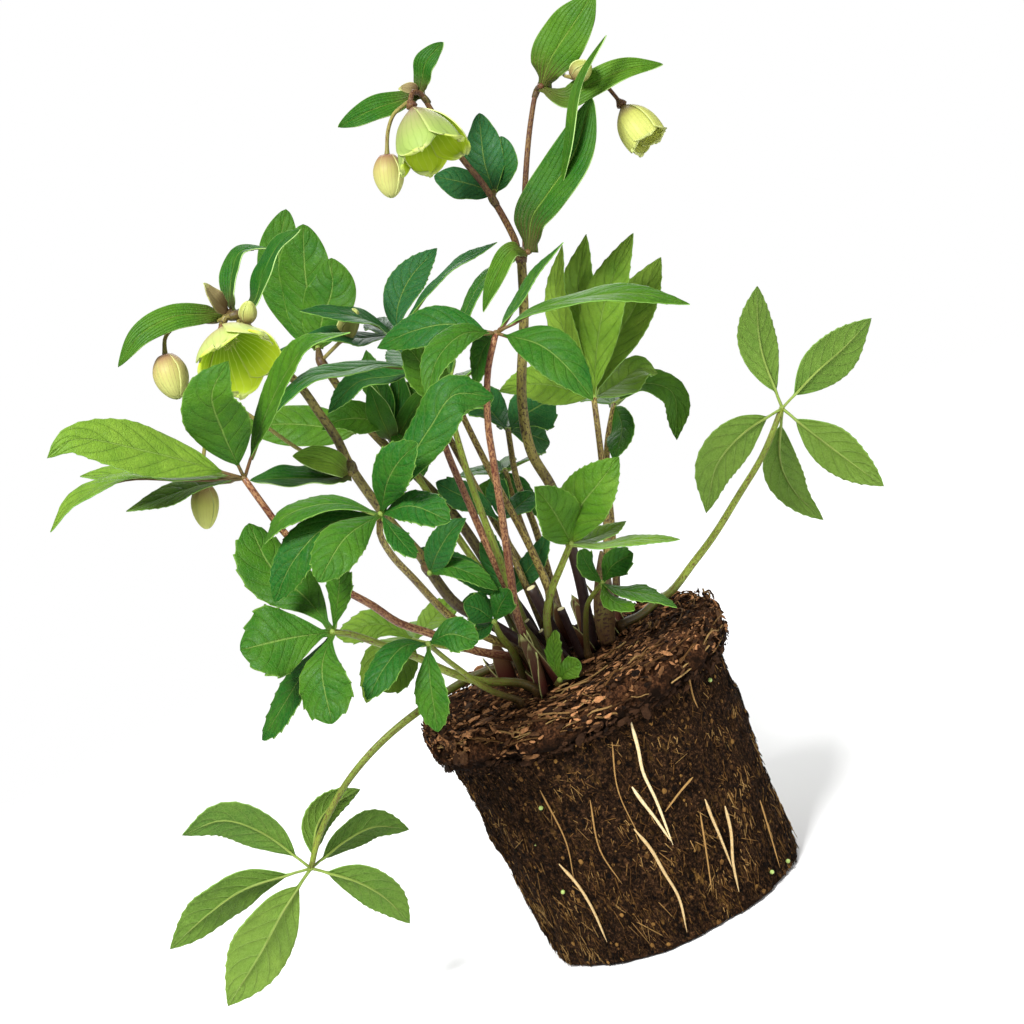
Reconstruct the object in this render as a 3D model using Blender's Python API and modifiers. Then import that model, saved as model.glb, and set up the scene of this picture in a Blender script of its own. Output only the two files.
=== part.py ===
"""A hellebore plant lifted out of its nursery container: a bare root ball, its stems, leaves, bracts and
flowers.

The origin is at the middle of the root ball's flat base, +Z up. The plant leans over in its picture, so the
places of its leaves and stems are given as picture points (1024 wide, y down) with a depth, and spot() turns
them upright.
"""

import math

import bmesh
import bpy
from mathutils import Vector

# Sizes in metres
BALL_HEIGHT = 0.106
BALL_TOP_RADIUS = 0.0675
BALL_BASE_RADIUS = 0.0615
MAT_THICKNESS = 0.0177
MAT_RADIUS = 0.0725
GAP = 0.0003
SOIL_TOP = BALL_HEIGHT + GAP + MAT_THICKNESS
LEAF_THICKNESS = 0.0007
BRACT_THICKNESS = 0.0006
SEPAL_THICKNESS = 0.0006
STALK_RADIUS = 0.0019
BALL_SIDES = 44
MM = 0.001

# The picture that the places below were read from
METRES_PER_PIXEL = 0.00045
PICTURE_MIDDLE = 512
PICTURE_TARGET = Vector((0.0054, 0, 0.197))
VIEW_DISTANCE = 1.15
VIEW_HEIGHT = math.radians(9)
PLANT_LEAN = math.radians(24.5)
FORWARD = Vector((0, math.cos(VIEW_HEIGHT), -math.sin(VIEW_HEIGHT)))
LEVEL_UP = Vector((0, math.sin(VIEW_HEIGHT), math.cos(VIEW_HEIGHT)))
PICTURE_RIGHT = Vector((1, 0, 0)) * math.cos(PLANT_LEAN) - LEVEL_UP * math.sin(PLANT_LEAN)
PICTURE_UP = Vector((1, 0, 0)) * math.sin(PLANT_LEAN) + LEVEL_UP * math.cos(PLANT_LEAN)
EYE = PICTURE_TARGET - FORWARD * VIEW_DISTANCE

# Share of a leaflet's full half width at each step from its hub to its tip
LEAFLET_STEPS = (0.16, 0.34, 0.54, 0.74, 0.9, 1.0)
LEAFLET_SHAPE = (0.5, 0.88, 1.0, 0.78, 0.4, 0.06)
LEAFLET_FOLD = 0.16
STALK_STEPS = 16
CURVE_STEPS = 10
MIDRIB_STEPS = 40
HUB_RADIUS = 0.0022
HUB_RADIUS_PER_LEAFLET = 0.00056
HUB_HALF_WIDTH = 0.0011
STRIP_HALF_WIDTH = 0.0015
FOOT_RISE = 0.003
BASAL_FOOT_HEIGHT = 0.001

# Leaves with a stalk: foot on the soil (x, y in mm), stalk as picture points with their depth in mm, then
# the hub. A leaflet is its full width in picture points, the share of it that faces the viewer, and its midrib.
LEAVES = {
    "left": {
        "foot": (-17, -12), "top_shows": True,
        "stalk": ((520, 660, -16), (476, 651, -26), (432, 634, -38), (399, 623, -46), (372, 605, -54),
                  (341, 587, -60), (284, 532, -68), (262, 503, -72)),
        "hub": (244, 478, -74),
        "leaflets": (
            (52, 0.9, ((150, 452, -92), (72, 440, -104), (47, 458, -106))),
            (38, 0.36, ((180, 478, -70), (124, 479, -68), (75, 500, -66), (50, 532, -64))),
            (40, 0.55, ((160, 472, -52), (80, 476, -38))),
            (38, 0.5, ((196, 486, -46), (126, 511, -24))),
            (60, 0.93, ((222, 430, -86), (212, 394, -94), (228, 361, -96))),
            (34, 0.5, ((256, 440, -80), (270, 404, -88), (289, 368, -98), (308, 344, -106),
                       (350, 332, -112))),
        ),
    },
    "front": {
        "foot": (-14, -21), "top_shows": True,
        "stalk": ((520, 652, -26), (487, 637, -38), (454, 619, -54), (438, 605, -64), (414, 579, -82),
                  (391, 554, -98), (380, 533, -106)),
        "hub": (381, 514, -110),
        "leaflets": (
            (46, 0.9, ((402, 473, -114), (431, 426, -116), (454, 395, -116), (494, 397, -114))),
            (42, 0.85, ((388, 480, -124), (400, 460, -130), (417, 443, -134))),
            (38, 0.85, ((412, 506, -124), (450, 521, -134))),
            (34, 0.42, ((350, 505, -110), (322, 504, -108), (284, 517, -104), (264, 544, -100))),
            (44, 0.92, ((345, 538, -128), (318, 582, -140))),
            (40, 0.88, ((330, 524, -106), (294, 560, -106), (274, 602, -104))),
            (22, 0.8, ((396, 535, -118), (416, 558, -124))),
        ),
    },
    "low_left": {
        "foot": (-17, -40), "top_shows": True,
        "stalk": ((520, 683, -42), (480, 681, -56), (452, 673, -68), (416, 657, -84), (372, 641, -98),
                  (350, 634, -104)),
        "hub": (333, 632, -108),
        "leaflets": (
            (64, 0.9, ((290, 640, -112), (244, 650, -114))),
            (36, 0.7, ((304, 672, -94), (264, 740, -80))),
            (46, 0.92, ((322, 668, -122), (336, 722, -132))),
            (60, 0.9, ((308, 600, -90), (270, 566, -76), (249, 523, -66))),
            (26, 0.85, ((338, 598, -116), (341, 560, -120))),
        ),
    },
    "hanging": {
        "foot": (-28, 3), "top_shows": False,
        "stalk": ((500, 668, 4), (474, 676, 4), (449, 690, 4), (420, 710, 2), (391, 733, 1), (366, 758, 0),
                  (345, 785, 0), (328, 815, 0), (317, 842, 0)),
        "hub": (311, 868, 0),
        "leaflets": (
            (42, 0.9, ((262, 832, -4), (222, 820, -8), (182, 835, -10))),
            (48, 0.9, ((245, 888, 0), (210, 912, 4), (170, 949, 8))),
            (64, 0.95, ((283, 910, -10), (262, 950, -14), (228, 1006, -16))),
            (44, 0.9, ((355, 880, 2), (385, 897, 4), (410, 923, 6))),
            (38, 0.85, ((345, 840, 12), (375, 826, 18), (409, 829, 24))),
            (36, 0.85, ((316, 826, 16), (330, 806, 24), (360, 789, 30))),
        ),
    },
    "right": {
        "foot": (29, 9), "top_shows": False,
        "stalk": ((640, 616, 12), (656, 602, 17), (672, 591, 24), (692, 565, 32), (713, 537, 40),
                  (739, 495, 52), (763, 455, 62)),
        "hub": (782, 408, 70),
        "leaflets": (
            (44, 0.92, ((762, 356, 78), (757, 321, 82), (757, 286, 82))),
            (50, 0.92, ((817, 371, 78), (842, 349, 84), (871, 318, 88))),
            (48, 0.92, ((817, 436, 62), (838, 452, 56), (884, 486, 48))),
            (42, 0.9, ((780, 462, 86), (794, 492, 92), (823, 520, 96))),
            (48, 0.92, ((742, 434, 58), (716, 466, 50), (706, 513, 44))),
        ),
    },
    "small_front": {
        "foot": (-5, -37), "top_shows": True,
        "stalk": ((550, 640, -40), (547, 615, -45), (552, 590, -50), (562, 565, -56)),
        "hub": (571, 543, -62),
        "leaflets": (
            (48, 0.92, ((582, 508, -68), (600, 484, -72), (619, 457, -74))),
            (36, 0.9, ((556, 522, -72), (545, 505, -80), (534, 492, -86))),
            (26, 0.6, ((598, 536, -50), (626, 521, -42))),
            (24, 0.45, ((600, 545, -64), (640, 539, -68), (680, 539, -70))),
        ),
    },
    "tall_front": {
        "foot": (-11, -29), "top_shows": True,
        "stalk": ((530, 648, -31), (517, 616, -35), (511, 577, -40), (502, 515, -47), (494, 464, -52),
                  (488, 423, -55), (488, 372, -56)),
        "hub": (496, 333, -56),
        "leaflets": (
            (46, 0.92, ((540, 345, -72), (566, 366, -80), (593, 400, -86))),
            (36, 0.5, ((530, 312, -60), (573, 299, -66), (635, 293, -70), (690, 304, -72))),
            (34, 0.8, ((463, 334, -66), (438, 358, -74), (426, 398, -80))),
            (42, 0.85, ((450, 324, -48), (410, 332, -42), (377, 348, -36))),
            (24, 0.3, ((515, 305, -46), (540, 268, -40), (563, 242, -36))),
            (28, 0.7, ((482, 352, -36), (473, 390, -26))),
        ),
    },
    "back_left": {
        "foot": (-4, 21), "top_shows": True,
        "stalk": ((540, 600, 30), (494, 520, 44), (440, 420, 62), (410, 360, 72)),
        "hub": (396, 334, 76),
        "leaflets": (
            (42, 0.88, ((398, 306, 84), (410, 278, 90), (437, 248, 94))),
            (26, 0.4, ((414, 310, 70), (432, 286, 66), (458, 263, 62), (497, 242, 56))),
            (34, 0.5, ((372, 322, 56), (342, 314, 38), (300, 311, 28))),
            (34, 0.45, ((362, 338, 60), (330, 336, 40), (275, 352, 28))),
            (38, None, ((404, 322, 100), (412, 316, 128))),
            (34, None, ((384, 326, 98), (366, 322, 122))),
        ),
    },
    "centre_left": {
        "foot": (-15, 4), "top_shows": True,
        "stalk": ((525, 628, 2), (505, 584, 0), (484, 538, -2), (465, 494, -5), (448, 454, -9),
                  (434, 410, -13)),
        "hub": (421, 370, -16),
        "leaflets": (
            (26, 0.4, ((383, 364, -24), (345, 371, -46), (306, 380, -62), (268, 422, -68),
                       (252, 460, -68))),
            (32, 0.75, ((392, 376, -10), (358, 382, -8), (328, 413, -6))),
            (30, 0.7, ((428, 350, -18), (436, 328, -18))),
            (34, None, ((404, 356, 4), (392, 344, 24))),
        ),
    },
    "centre": {
        "foot": (-8, 10), "top_shows": True,
        "stalk": ((549, 592, 10), (539, 566, 11), (522, 531, 12), (502, 494, 14), (481, 453, 16),
                  (463, 416, 18)),
        "hub": (450, 384, 20),
        "leaflets": (
            (32, 0.85, ((453, 352, 20), (466, 310, 22), (487, 275, 26), (528, 250, 30))),
            (36, None, ((440, 366, 40), (430, 352, 62))),
            (36, None, ((470, 372, 36), (486, 362, 56))),
            (30, 0.6, ((428, 376, 18), (400, 350, 16))),
        ),
    },
    "right_upright": {
        "foot": (17, 15), "top_shows": True,
        "stalk": ((606, 600, 17), (607, 545, 20), (606, 504, 24), (601, 453, 30)),
        "hub": (594, 398, 38),
        "leaflets": (
            (46, 0.9, ((606, 358, 46), (630, 312, 54), (661, 257, 60))),
            (40, 0.9, ((597, 346, 34), (610, 290, 28), (633, 233, 24))),
            (40, 0.9, ((588, 350, 50), (580, 290, 60), (590, 236, 66))),
            (26, 0.85, ((574, 356, 38), (558, 300, 40), (564, 247, 42))),
            (44, 0.8, ((620, 382, 62), (640, 368, 72), (658, 373, 80))),
            (44, 0.85, ((564, 388, 30), (534, 384, 22), (499, 391, 14))),
        ),
    },
    "back_dark": {
        "foot": (4, 26), "top_shows": True,
        "stalk": ((556, 600, 34), (536, 530, 50), (517, 480, 64)),
        "hub": (508, 430, 80),
        "leaflets": (
            (44, 0.8, ((524, 412, 88), (549, 390, 94))),
            (38, 0.8, ((492, 408, 92), (478, 386, 98))),
            (38, 0.75, ((528, 434, 98), (550, 442, 110))),
            (42, None, ((512, 420, 104), (516, 406, 136))),
        ),
    },
    "back_right": {
        "foot": (23, 23), "top_shows": True,
        "stalk": ((616, 590, 34), (612, 530, 52), (607, 450, 76)),
        "hub": (614, 404, 90),
        "leaflets": (
            (38, 0.85, ((640, 384, 94), (672, 392, 96), (677, 440, 96))),
            (34, 0.85, ((622, 428, 72), (614, 460, 58))),
            (40, None, ((624, 396, 112), (634, 386, 138))),
            (40, None, ((598, 396, 108), (582, 384, 128))),
        ),
    },
}

# Short basal leaves whose flat stalk is one with the blade
BASAL_LEAVES = {
    "right": {
        "foot": (10, -16), "top_shows": True,
        "stalk": ((586, 628, -19), (588, 604, -23)),
        "hub": (602, 583, -28),
        "leaflets": (
            (32, 0.85, ((612, 566, -30), (633, 553, -32))),
            (26, 0.5, ((622, 590, -40), (650, 595, -48), (677, 607, -52))),
            (22, 0.7, ((612, 600, -42), (634, 610, -54))),
            (24, 0.8, ((588, 566, -36), (580, 550, -40))),
        ),
    },
    "left": {
        "foot": (-26, -46), "top_shows": True,
        "stalk": ((490, 690, -56), (455, 666, -80)),
        "hub": (428, 644, -98),
        "leaflets": (
            (32, 0.9, ((450, 636, -102), (477, 643, -106))),
            (32, 0.92, ((430, 680, -108), (440, 731, -112))),
            (28, 0.6, ((412, 630, -108), (398, 626, -118))),
        ),
    },
    "back": {
        "foot": (-21, 21), "top_shows": True,
        "stalk": ((478, 652, 54), (440, 646, 84)),
        "hub": (414, 640, 100),
        "leaflets": (
            (38, 0.85, ((380, 624, 104), (336, 636, 108))),
            (42, 0.85, ((404, 664, 92), (384, 692, 86))),
            (40, 0.8, ((430, 622, 108), (452, 600, 116))),
            (36, None, ((412, 630, 120), (410, 622, 146))),
            (36, 0.85, ((398, 645, 78), (378, 662, 66), (366, 703, 60))),
        ),
    },
    "far_back": {
        "foot": (13, 36), "top_shows": False,
        "stalk": ((577, 614, 50), (573, 602, 74), (582, 612, 96)),
        "hub": (608, 666, 112),
        "leaflets": (
            (38, None, ((622, 684, 126), (644, 712, 136))),
            (36, None, ((600, 690, 124), (598, 724, 136))),
            (36, None, ((636, 664, 120), (668, 680, 128))),
            (34, None, ((586, 668, 120), (560, 684, 132))),
        ),
    },
}

# Bracts: the stem that carries them, the place of their hub, then each bract as a leaflet
BRACTS = {
    "fork": ("tall", (528, 252, -3), (
        (50, 0.92, ((532, 218, -4), (546, 196, -6), (572, 158, -8), (592, 98, -8))),
        (26, 0.4, ((546, 206, 4), (567, 150, 8), (577, 84, 10), (606, 35, 12))),
        (30, 0.55, ((514, 260, -8), (500, 274, -8), (483, 312, -8))),
    )),
    "behind_fork": ("tall_left", (494, 192, 8), (
        (36, 0.88, ((470, 184, 12), (434, 176, 14))),
        (42, 0.9, ((484, 160, 18), (479, 113, 22))),
        (34, 0.85, ((502, 170, 14), (501, 136, 18))),
    )),
    "top_right": ("tall_right", (541, 86, 8), (
        (50, 0.93, ((550, 60, 4), (572, 26, 0), (594, -8, -2))),
        (26, 0.88, ((566, 92, 2), (592, 78, -2), (626, 67, -6), (663, 64, -8))),
    )),
    "top_left": ("tall_left", (420, 93, -5), (
        (24, 0.9, ((422, 80, -5), (426, 62, -7), (443, 42, -8))),
        (28, 0.9, ((402, 100, -4), (374, 109, -6), (338, 127, -8))),
    )),
    "left_top": ("left", (230, 312, -50), (
        (28, 0.88, ((206, 314, -54), (172, 317, -58), (140, 335, -60), (118, 367, -60))),
        (28, 0.4, ((230, 296, -46), (232, 274, -42), (240, 252, -38), (268, 248, -34))),
        (36, 0.45, ((252, 304, -52), (264, 271, -54), (279, 244, -56), (300, 229, -56))),
        (20, 0.7, ((216, 300, -58), (204, 283, -62))),
    )),
    "back_top": ("back", (318, 348, 64), (
        (56, 0.92, ((296, 310, 68), (286, 262, 72), (285, 211, 74))),
        (44, 0.92, ((324, 318, 62), (336, 290, 58), (334, 263, 56))),
    )),
    "back_left": ("back", (357, 430, 60), (
        (50, 0.9, ((334, 428, 64), (292, 424, 68), (244, 426, 70))),
        (34, None, ((362, 420, 72), (358, 410, 98))),
    )),
    "left_middle": ("left", (350, 474, -40), (
        (24, 0.85, ((330, 462, -46), (293, 459, -50))),
        (36, 0.6, ((326, 478, -44), (290, 478, -46), (250, 480, -44))),
    )),
    "left_low": ("left", (430, 573, -28), (
        (24, 0.9, ((446, 566, -36), (472, 574, -42), (498, 590, -44))),
        (32, 0.85, ((438, 552, -36), (452, 530, -38), (466, 518, -38))),
    )),
    "centre": ("back", (394, 444, 26), (
        (22, 0.85, ((382, 420, 22), (371, 391, 18))),
        (22, 0.85, ((398, 408, 32), (399, 375, 36))),
        (22, 0.85, ((410, 416, 24), (430, 392, 22))),
        (22, None, ((398, 430, 44), (402, 414, 62))),
    )),
}

# Stems: foot on the soil or None, radius at the start and at the end in mm, and picture points
STEMS = {
    "tall": ((13, 3), 2.6, 2.1,
             ((586, 610, 4), (575, 560, 4), (553, 490, 3), (531, 451, 3), (522, 400, 4), (524, 312, 5),
              (521, 252, 6))),
    "tall_right": (None, 1.5, 0.9,
                   ((525.5, 251, 6.2), (525.5, 243, 7), (525, 191, 12), (531, 120, 16), (538, 88, 18),
                    (552, 70, 20), (584, 72, 20), (606, 86, 19), (619, 101, 18))),
    "tall_left": (None, 1.6, 1.1,
                  ((516.5, 251, 6), (516, 243, 5), (485, 187, 0), (461, 157, -3), (430, 108, -8),
                   (421, 94, -10), (413, 92, -14), (410, 102, -19))),
    "left": ((-9, -5), 2.8, 1.6,
             ((524, 645, -7), (490, 623, -10), (456, 604, -14), (437, 581, -16), (421, 556, -18),
              (393, 525, -22), (364, 487, -28), (349, 464, -32), (337, 439, -36), (320, 414, -40),
              (301, 387, -44), (276, 362, -49), (253, 333, -54), (238, 317, -58), (227, 316, -58),
              (222, 326, -60))),
    "back": ((-10, 16), 2.8, 1.8,
             ((530, 625, 20), (498, 580, 27), (459, 521, 35), (428, 487, 40), (395, 455, 46),
              (362, 420, 52), (320, 360, 60))),
}

# Flowers: the stem that ends in them, a point that the cup opens towards, its depth and mouth radius in mm,
# and how wide it stands open, from 0 to 1
FLOWERS = {
    "top": ("tall_left", (434, 152, -31), 21, 17, 1.0),
    "left": ("left", (244, 368, -76), 21, 18.5, 1.0),
    "right": ("tall_right", (645, 136, 10), 22, 13, 0.25),
}

# Buds: the stem that carries them, radius in mm, pedicel as picture points, then the far end of the bud
BUDS = {
    "top": ("tall_left", 6.3,
            ((403, 106, -15), (394, 114, -13), (388, 131, -11), (387, 156, -11)), (392, 199, -14)),
    "left": ("left", 6.9,
             ((214, 322, -50), (184, 322, -46), (166, 336, -47), (165, 357, -50)), (179, 400, -56)),
    "low": ("left", 5.6,
            ((340, 470, -24), (300, 450, -28), (262, 424, -32), (232, 407, -34), (212, 420, -35),
             (204, 452, -34), (204, 486, -32)), (207, 530, -30)),
}

# Thick pale roots on the ball's side: picture points from top to bottom
SIDE_ROOTS = {
    "front": ((630, 719), (639, 759), (652, 796), (674, 845)),
    "right": ((705, 799), (715, 825), (732, 869)),
    "low": ((559, 864), (586, 898), (607, 940)),
}
SIDE_ROOT_RADIUS = 0.0011
SIDE_ROOT_STEPS = 12
PEDICEL_RADIUS = 0.0009

# The closed shoot in the crown
SHOOT_FOOT = (21, -4)
SHOOT_TIP = (601, 551, -6)

LEAF_GREEN = (0.075, 0.19, 0.03, 1)
UNDERSIDE_GREEN = (0.17, 0.27, 0.08, 1)
STALK_BROWN = (0.19, 0.1, 0.05, 1)
STEM_PURPLE = (0.12, 0.05, 0.045, 1)
SEPAL_LIME = (0.5, 0.62, 0.12, 1)
BUD_CREAM = (0.62, 0.62, 0.28, 1)
PEAT_BLACK = (0.035, 0.022, 0.014, 1)
BARK_BROWN = (0.12, 0.055, 0.025, 1)
ROOT_CREAM = (0.62, 0.48, 0.28, 1)


def spot(x, y, depth):
    """The place on the plant of the picture point (x, y), depth millimetres behind the plant's middle."""
    ray = (FORWARD * VIEW_DISTANCE
           + PICTURE_RIGHT * (x - PICTURE_MIDDLE) * METRES_PER_PIXEL
           + PICTURE_UP * (PICTURE_MIDDLE - y) * METRES_PER_PIXEL)
    return EYE + ray * ((depth * MM - EYE.y) / ray.y)


def on_ball_side(x, y, outward):
    """The place where the picture point (x, y) meets the root ball's side, raised outward from it."""
    near, far = -100.0, 0.0
    for _ in range(40):
        middle = (near + far) / 2
        place = spot(x, y, middle)
        wall = BALL_BASE_RADIUS + (BALL_TOP_RADIUS - BALL_BASE_RADIUS) * place.z / BALL_HEIGHT
        if math.hypot(place.x, place.y) > wall + outward:
            near = middle
        else:
            far = middle
    return place


def between(start, end, early, late, when):
    """The value at the time when, on the line that is at start early and at end late."""
    return start + (end - start) * ((when - early) / (late - early))


def smooth_path(points, count):
    """count places, evenly spaced, along a smooth curve through the points."""
    ends = [points[0] * 2 - points[1], *points, points[-1] * 2 - points[-2]]
    fine = []
    for a, b, c, d in zip(ends, ends[1:], ends[2:], ends[3:]):
        knots = [0.0]
        for start, end in ((a, b), (b, c), (c, d)):
            knots.append(knots[-1] + math.sqrt((end - start).length))
        for step in range(CURVE_STEPS):
            when = knots[1] + (knots[2] - knots[1]) * step / CURVE_STEPS
            ab = between(a, b, knots[0], knots[1], when)
            bc = between(b, c, knots[1], knots[2], when)
            cd = between(c, d, knots[2], knots[3], when)
            abc = between(ab, bc, knots[0], knots[2], when)
            bcd = between(bc, cd, knots[1], knots[3], when)
            fine.append(between(abc, bcd, knots[1], knots[2], when))
    fine.append(points[-1])
    return even_spacing(fine, count)


def even_spacing(points, count):
    """count places at equal distances along the chain of points, both ends among them."""
    run = [0.0]
    for start, end in zip(points, points[1:]):
        run.append(run[-1] + (end - start).length)
    places = []
    piece = 0
    for index in range(count):
        goal = run[-1] * index / (count - 1)
        while piece < len(points) - 2 and run[piece + 1] < goal:
            piece += 1
        share = (goal - run[piece]) / max(run[piece + 1] - run[piece], 1e-9)
        places.append(points[piece].lerp(points[piece + 1], min(share, 1)))
    return places


def material(name, colour, roughness):
    surface = bpy.data.materials.new(name)
    surface.use_nodes = True
    shader = surface.node_tree.nodes["Principled BSDF"]
    shader.inputs["Base Color"].default_value = colour
    shader.inputs["Roughness"].default_value = roughness
    return surface


def add_object(name, data, surface):
    data.materials.append(surface)
    piece = bpy.data.objects.new(name, data)
    plant.objects.link(piece)
    return piece


def add_mesh(name, form, surface):
    """A named object from the bmesh, shaded smooth."""
    mesh = bpy.data.meshes.new(name)
    form.to_mesh(mesh)
    form.free()
    mesh.shade_smooth()
    return add_object(name, mesh, surface)


def add_tube(name, places, radii, surface, roundness=1):
    """A closed tube along the places, with its own radius at each."""
    curve = bpy.data.curves.new(name, "CURVE")
    curve.dimensions = "3D"
    curve.bevel_depth = 1.0
    curve.bevel_resolution = roundness
    curve.use_fill_caps = True
    spline = curve.splines.new("POLY")
    spline.points.add(len(places) - 1)
    for point, place, radius in zip(spline.points, places, radii):
        point.co = (*place, 1)
        point.radius = radius
    return add_object(name, curve, surface)


def thicken(piece, thickness):
    wall = piece.modifiers.new("Thickness", "SOLIDIFY")
    wall.thickness = thickness
    wall.offset = 0


def faces_up(place, along, leaflet_share, top_shows, turn):
    """The way a leaf's upper side faces at a place, so that this share of its width faces the viewer."""
    if leaflet_share is None:
        upward = Vector((0, 0, 1))
        return (upward - along * upward.dot(along)).normalized()
    toward_eye = (EYE - place).normalized()
    square = (toward_eye - along * toward_eye.dot(along)).normalized()
    tilt = math.acos(leaflet_share)
    side = 1 if top_shows else -1
    return square * math.cos(tilt) * side + along.cross(square) * math.sin(tilt) * turn


def leaflet_sections(hub, leaflet, top_shows):
    """The way that a leaflet leaves its hub, and (place, across, fold) at each step along it."""
    width, share, midrib = leaflet
    fine = smooth_path([hub] + [spot(*point) for point in midrib], MIDRIB_STEPS + 1)
    skyward = (fine[-1] - fine[0]).cross(EYE - fine[MIDRIB_STEPS // 2]).z
    turn = 1 if skyward >= 0 else -1
    sections = []
    for step, shape in zip(LEAFLET_STEPS, LEAFLET_SHAPE):
        index = round(step * MIDRIB_STEPS)
        along = (fine[min(index + 1, MIDRIB_STEPS)] - fine[index - 1]).normalized()
        up = faces_up(fine[index], along, share, top_shows, turn)
        half = width * METRES_PER_PIXEL / 2 * shape
        sections.append((fine[index], along.cross(up) * half, up * half * LEAFLET_FOLD))
    return (fine[4] - hub).normalized(), sections


def star(name, hub, leaflets, top_shows, thickness, surface, stalk=None):
    """A compound leaf: a small hub with each leaflet drawn out of two of its edges, one step at a time."""
    grown = [leaflet_sections(hub, leaflet, top_shows) for leaflet in leaflets]
    axis = sum((sections[1][2].normalized() for _, sections in grown), Vector()).normalized()
    if stalk:
        start = (stalk[-2] - hub).normalized()
        across = start.cross(axis).normalized() * STRIP_HALF_WIDTH
        grown.append((start, [(place, across, Vector()) for place in reversed(stalk[:-1])]))
    east = axis.orthogonal().normalized()
    north = axis.cross(east)
    grown = sorted((math.atan2(start.dot(north), start.dot(east)), sections) for start, sections in grown)
    turns = spread_turns([turn for turn, _ in grown])
    count = len(grown)
    radius = max(HUB_RADIUS, count * HUB_RADIUS_PER_LEAFLET)
    half = min(HUB_HALF_WIDTH, radius * 1.8 / count)
    form = bmesh.new()
    bmesh.ops.create_circle(form, cap_ends=True, cap_tris=True, segments=3 * count, radius=radius)
    centre, rim = centre_and_rim(form)
    centre.co = hub
    for index, (turn, (_, sections)) in enumerate(zip(turns, grown)):
        outward = east * math.cos(turn) + north * math.sin(turn)
        trio = rim[3 * index:3 * index + 3]
        for vert, side in zip(trio, (-1, 0, 1)):
            vert.co = hub + outward * radius + axis.cross(outward) * half * side
        for place, across, fold in sections:
            trio = grow(form, trio, (place + across + fold, place, place - across + fold))
    bmesh.ops.recalc_face_normals(form, faces=form.faces)
    if sum(face.normal.dot(axis) for face in form.faces) < 0:
        bmesh.ops.reverse_faces(form, faces=form.faces)
    piece = add_mesh(name, form, surface)
    thicken(piece, thickness)
    return piece


def centre_and_rim(form):
    """The middle point of a filled circle, and its rim in order round it."""
    centre = min(form.verts, key=lambda vert: vert.co.length)
    others = [vert for vert in form.verts if vert is not centre]
    rim = sorted(others, key=lambda vert: math.atan2(vert.co.y, vert.co.x))
    return centre, rim


def spread_turns(turns):
    """Turning angles round a hub, in order, moved apart until neighbours have room."""
    slots = list(turns)
    least = 2 * math.pi / (len(turns) + 1.5)
    for _ in range(200):
        for index in range(len(slots)):
            after = (index + 1) % len(slots)
            full_turn = 2 * math.pi if after == 0 else 0
            short = least - (slots[after] + full_turn - slots[index])
            if short > 0:
                slots[index] -= short / 2
                slots[after] += short / 2
    return slots


def grow(form, trio, places):
    """Extrudes the two edges between the three points and puts the new points at the places."""
    edges = [form.edges.get(trio[:2]), form.edges.get(trio[1:])]
    new = [item for item in bmesh.ops.extrude_edge_only(form, edges=edges)["geom"]
           if isinstance(item, bmesh.types.BMVert)]
    ordered = [min(new, key=lambda vert: (vert.co - old.co).length) for old in trio]
    for vert, place in zip(ordered, places):
        vert.co = place
    return ordered


def foot_place(foot, height=0):
    """The place of a stem's foot just above the soil, raised by a height."""
    return Vector((foot[0] * MM, foot[1] * MM, SOIL_TOP + GAP + height))


def rising_path(foot, points, count):
    """count places from the soil, straight up at first, and then smoothly through the points."""
    rise = foot_place(foot, FOOT_RISE)
    return [foot_place(foot)] + smooth_path([rise, *points], count - 1)


def root_ball():
    form = bmesh.new()
    bmesh.ops.create_cone(form, cap_ends=True, segments=BALL_SIDES, radius1=BALL_BASE_RADIUS,
                          radius2=BALL_TOP_RADIUS, depth=BALL_HEIGHT)
    bmesh.ops.translate(form, verts=form.verts, vec=(0, 0, BALL_HEIGHT / 2))
    add_mesh("root_ball", form, material("peat", PEAT_BLACK, 0.95))


def top_dressing():
    """The crumbly mat, whose edge is uneven and a little rounded."""
    form = bmesh.new()
    bmesh.ops.create_cone(form, cap_ends=True, segments=BALL_SIDES, radius1=MAT_RADIUS, radius2=MAT_RADIUS,
                          depth=MAT_THICKNESS)
    for vert in form.verts:
        turn = math.atan2(vert.co.y, vert.co.x)
        vert.co.xy *= 1 + 0.012 * math.sin(5 * turn) + 0.008 * math.sin(9 * turn + 1)
    bmesh.ops.translate(form, verts=form.verts, vec=(0, 0, BALL_HEIGHT + GAP + MAT_THICKNESS / 2))
    edges = [edge for edge in form.edges if len({round(vert.co.z, 5) for vert in edge.verts}) == 1]
    bmesh.ops.bevel(form, geom=edges, offset=0.0035, segments=2, profile=0.5, affect="EDGES")
    add_mesh("top_dressing", form, material("bark_mat", BARK_BROWN, 0.95))


def side_roots():
    surface = material("pale_root", ROOT_CREAM, 0.7)
    for name, line in SIDE_ROOTS.items():
        places = [on_ball_side(x, y, SIDE_ROOT_RADIUS + 0.0004) for x, y in line]
        places = smooth_path(places, SIDE_ROOT_STEPS)
        shrink = 0.5 / (SIDE_ROOT_STEPS - 1)
        radii = [SIDE_ROOT_RADIUS * (1 - shrink * index) for index in range(SIDE_ROOT_STEPS)]
        add_tube("side_root_" + name, places, radii, surface)


def stems():
    """Makes the stems, and gives the places and radii along each."""
    surface = material("stem", STEM_PURPLE, 0.5)
    routes = {}
    for name, (foot, thick, thin, line) in STEMS.items():
        points = [spot(*point) for point in line]
        count = 22 if foot else 14
        places = rising_path(foot, points, count) if foot else smooth_path(points, count)
        radii = [(thick + (thin - thick) * index / (count - 1)) * MM for index in range(count)]
        add_tube("stem_" + name, places, radii, surface)
        routes[name] = (places, radii)
    return routes


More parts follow.
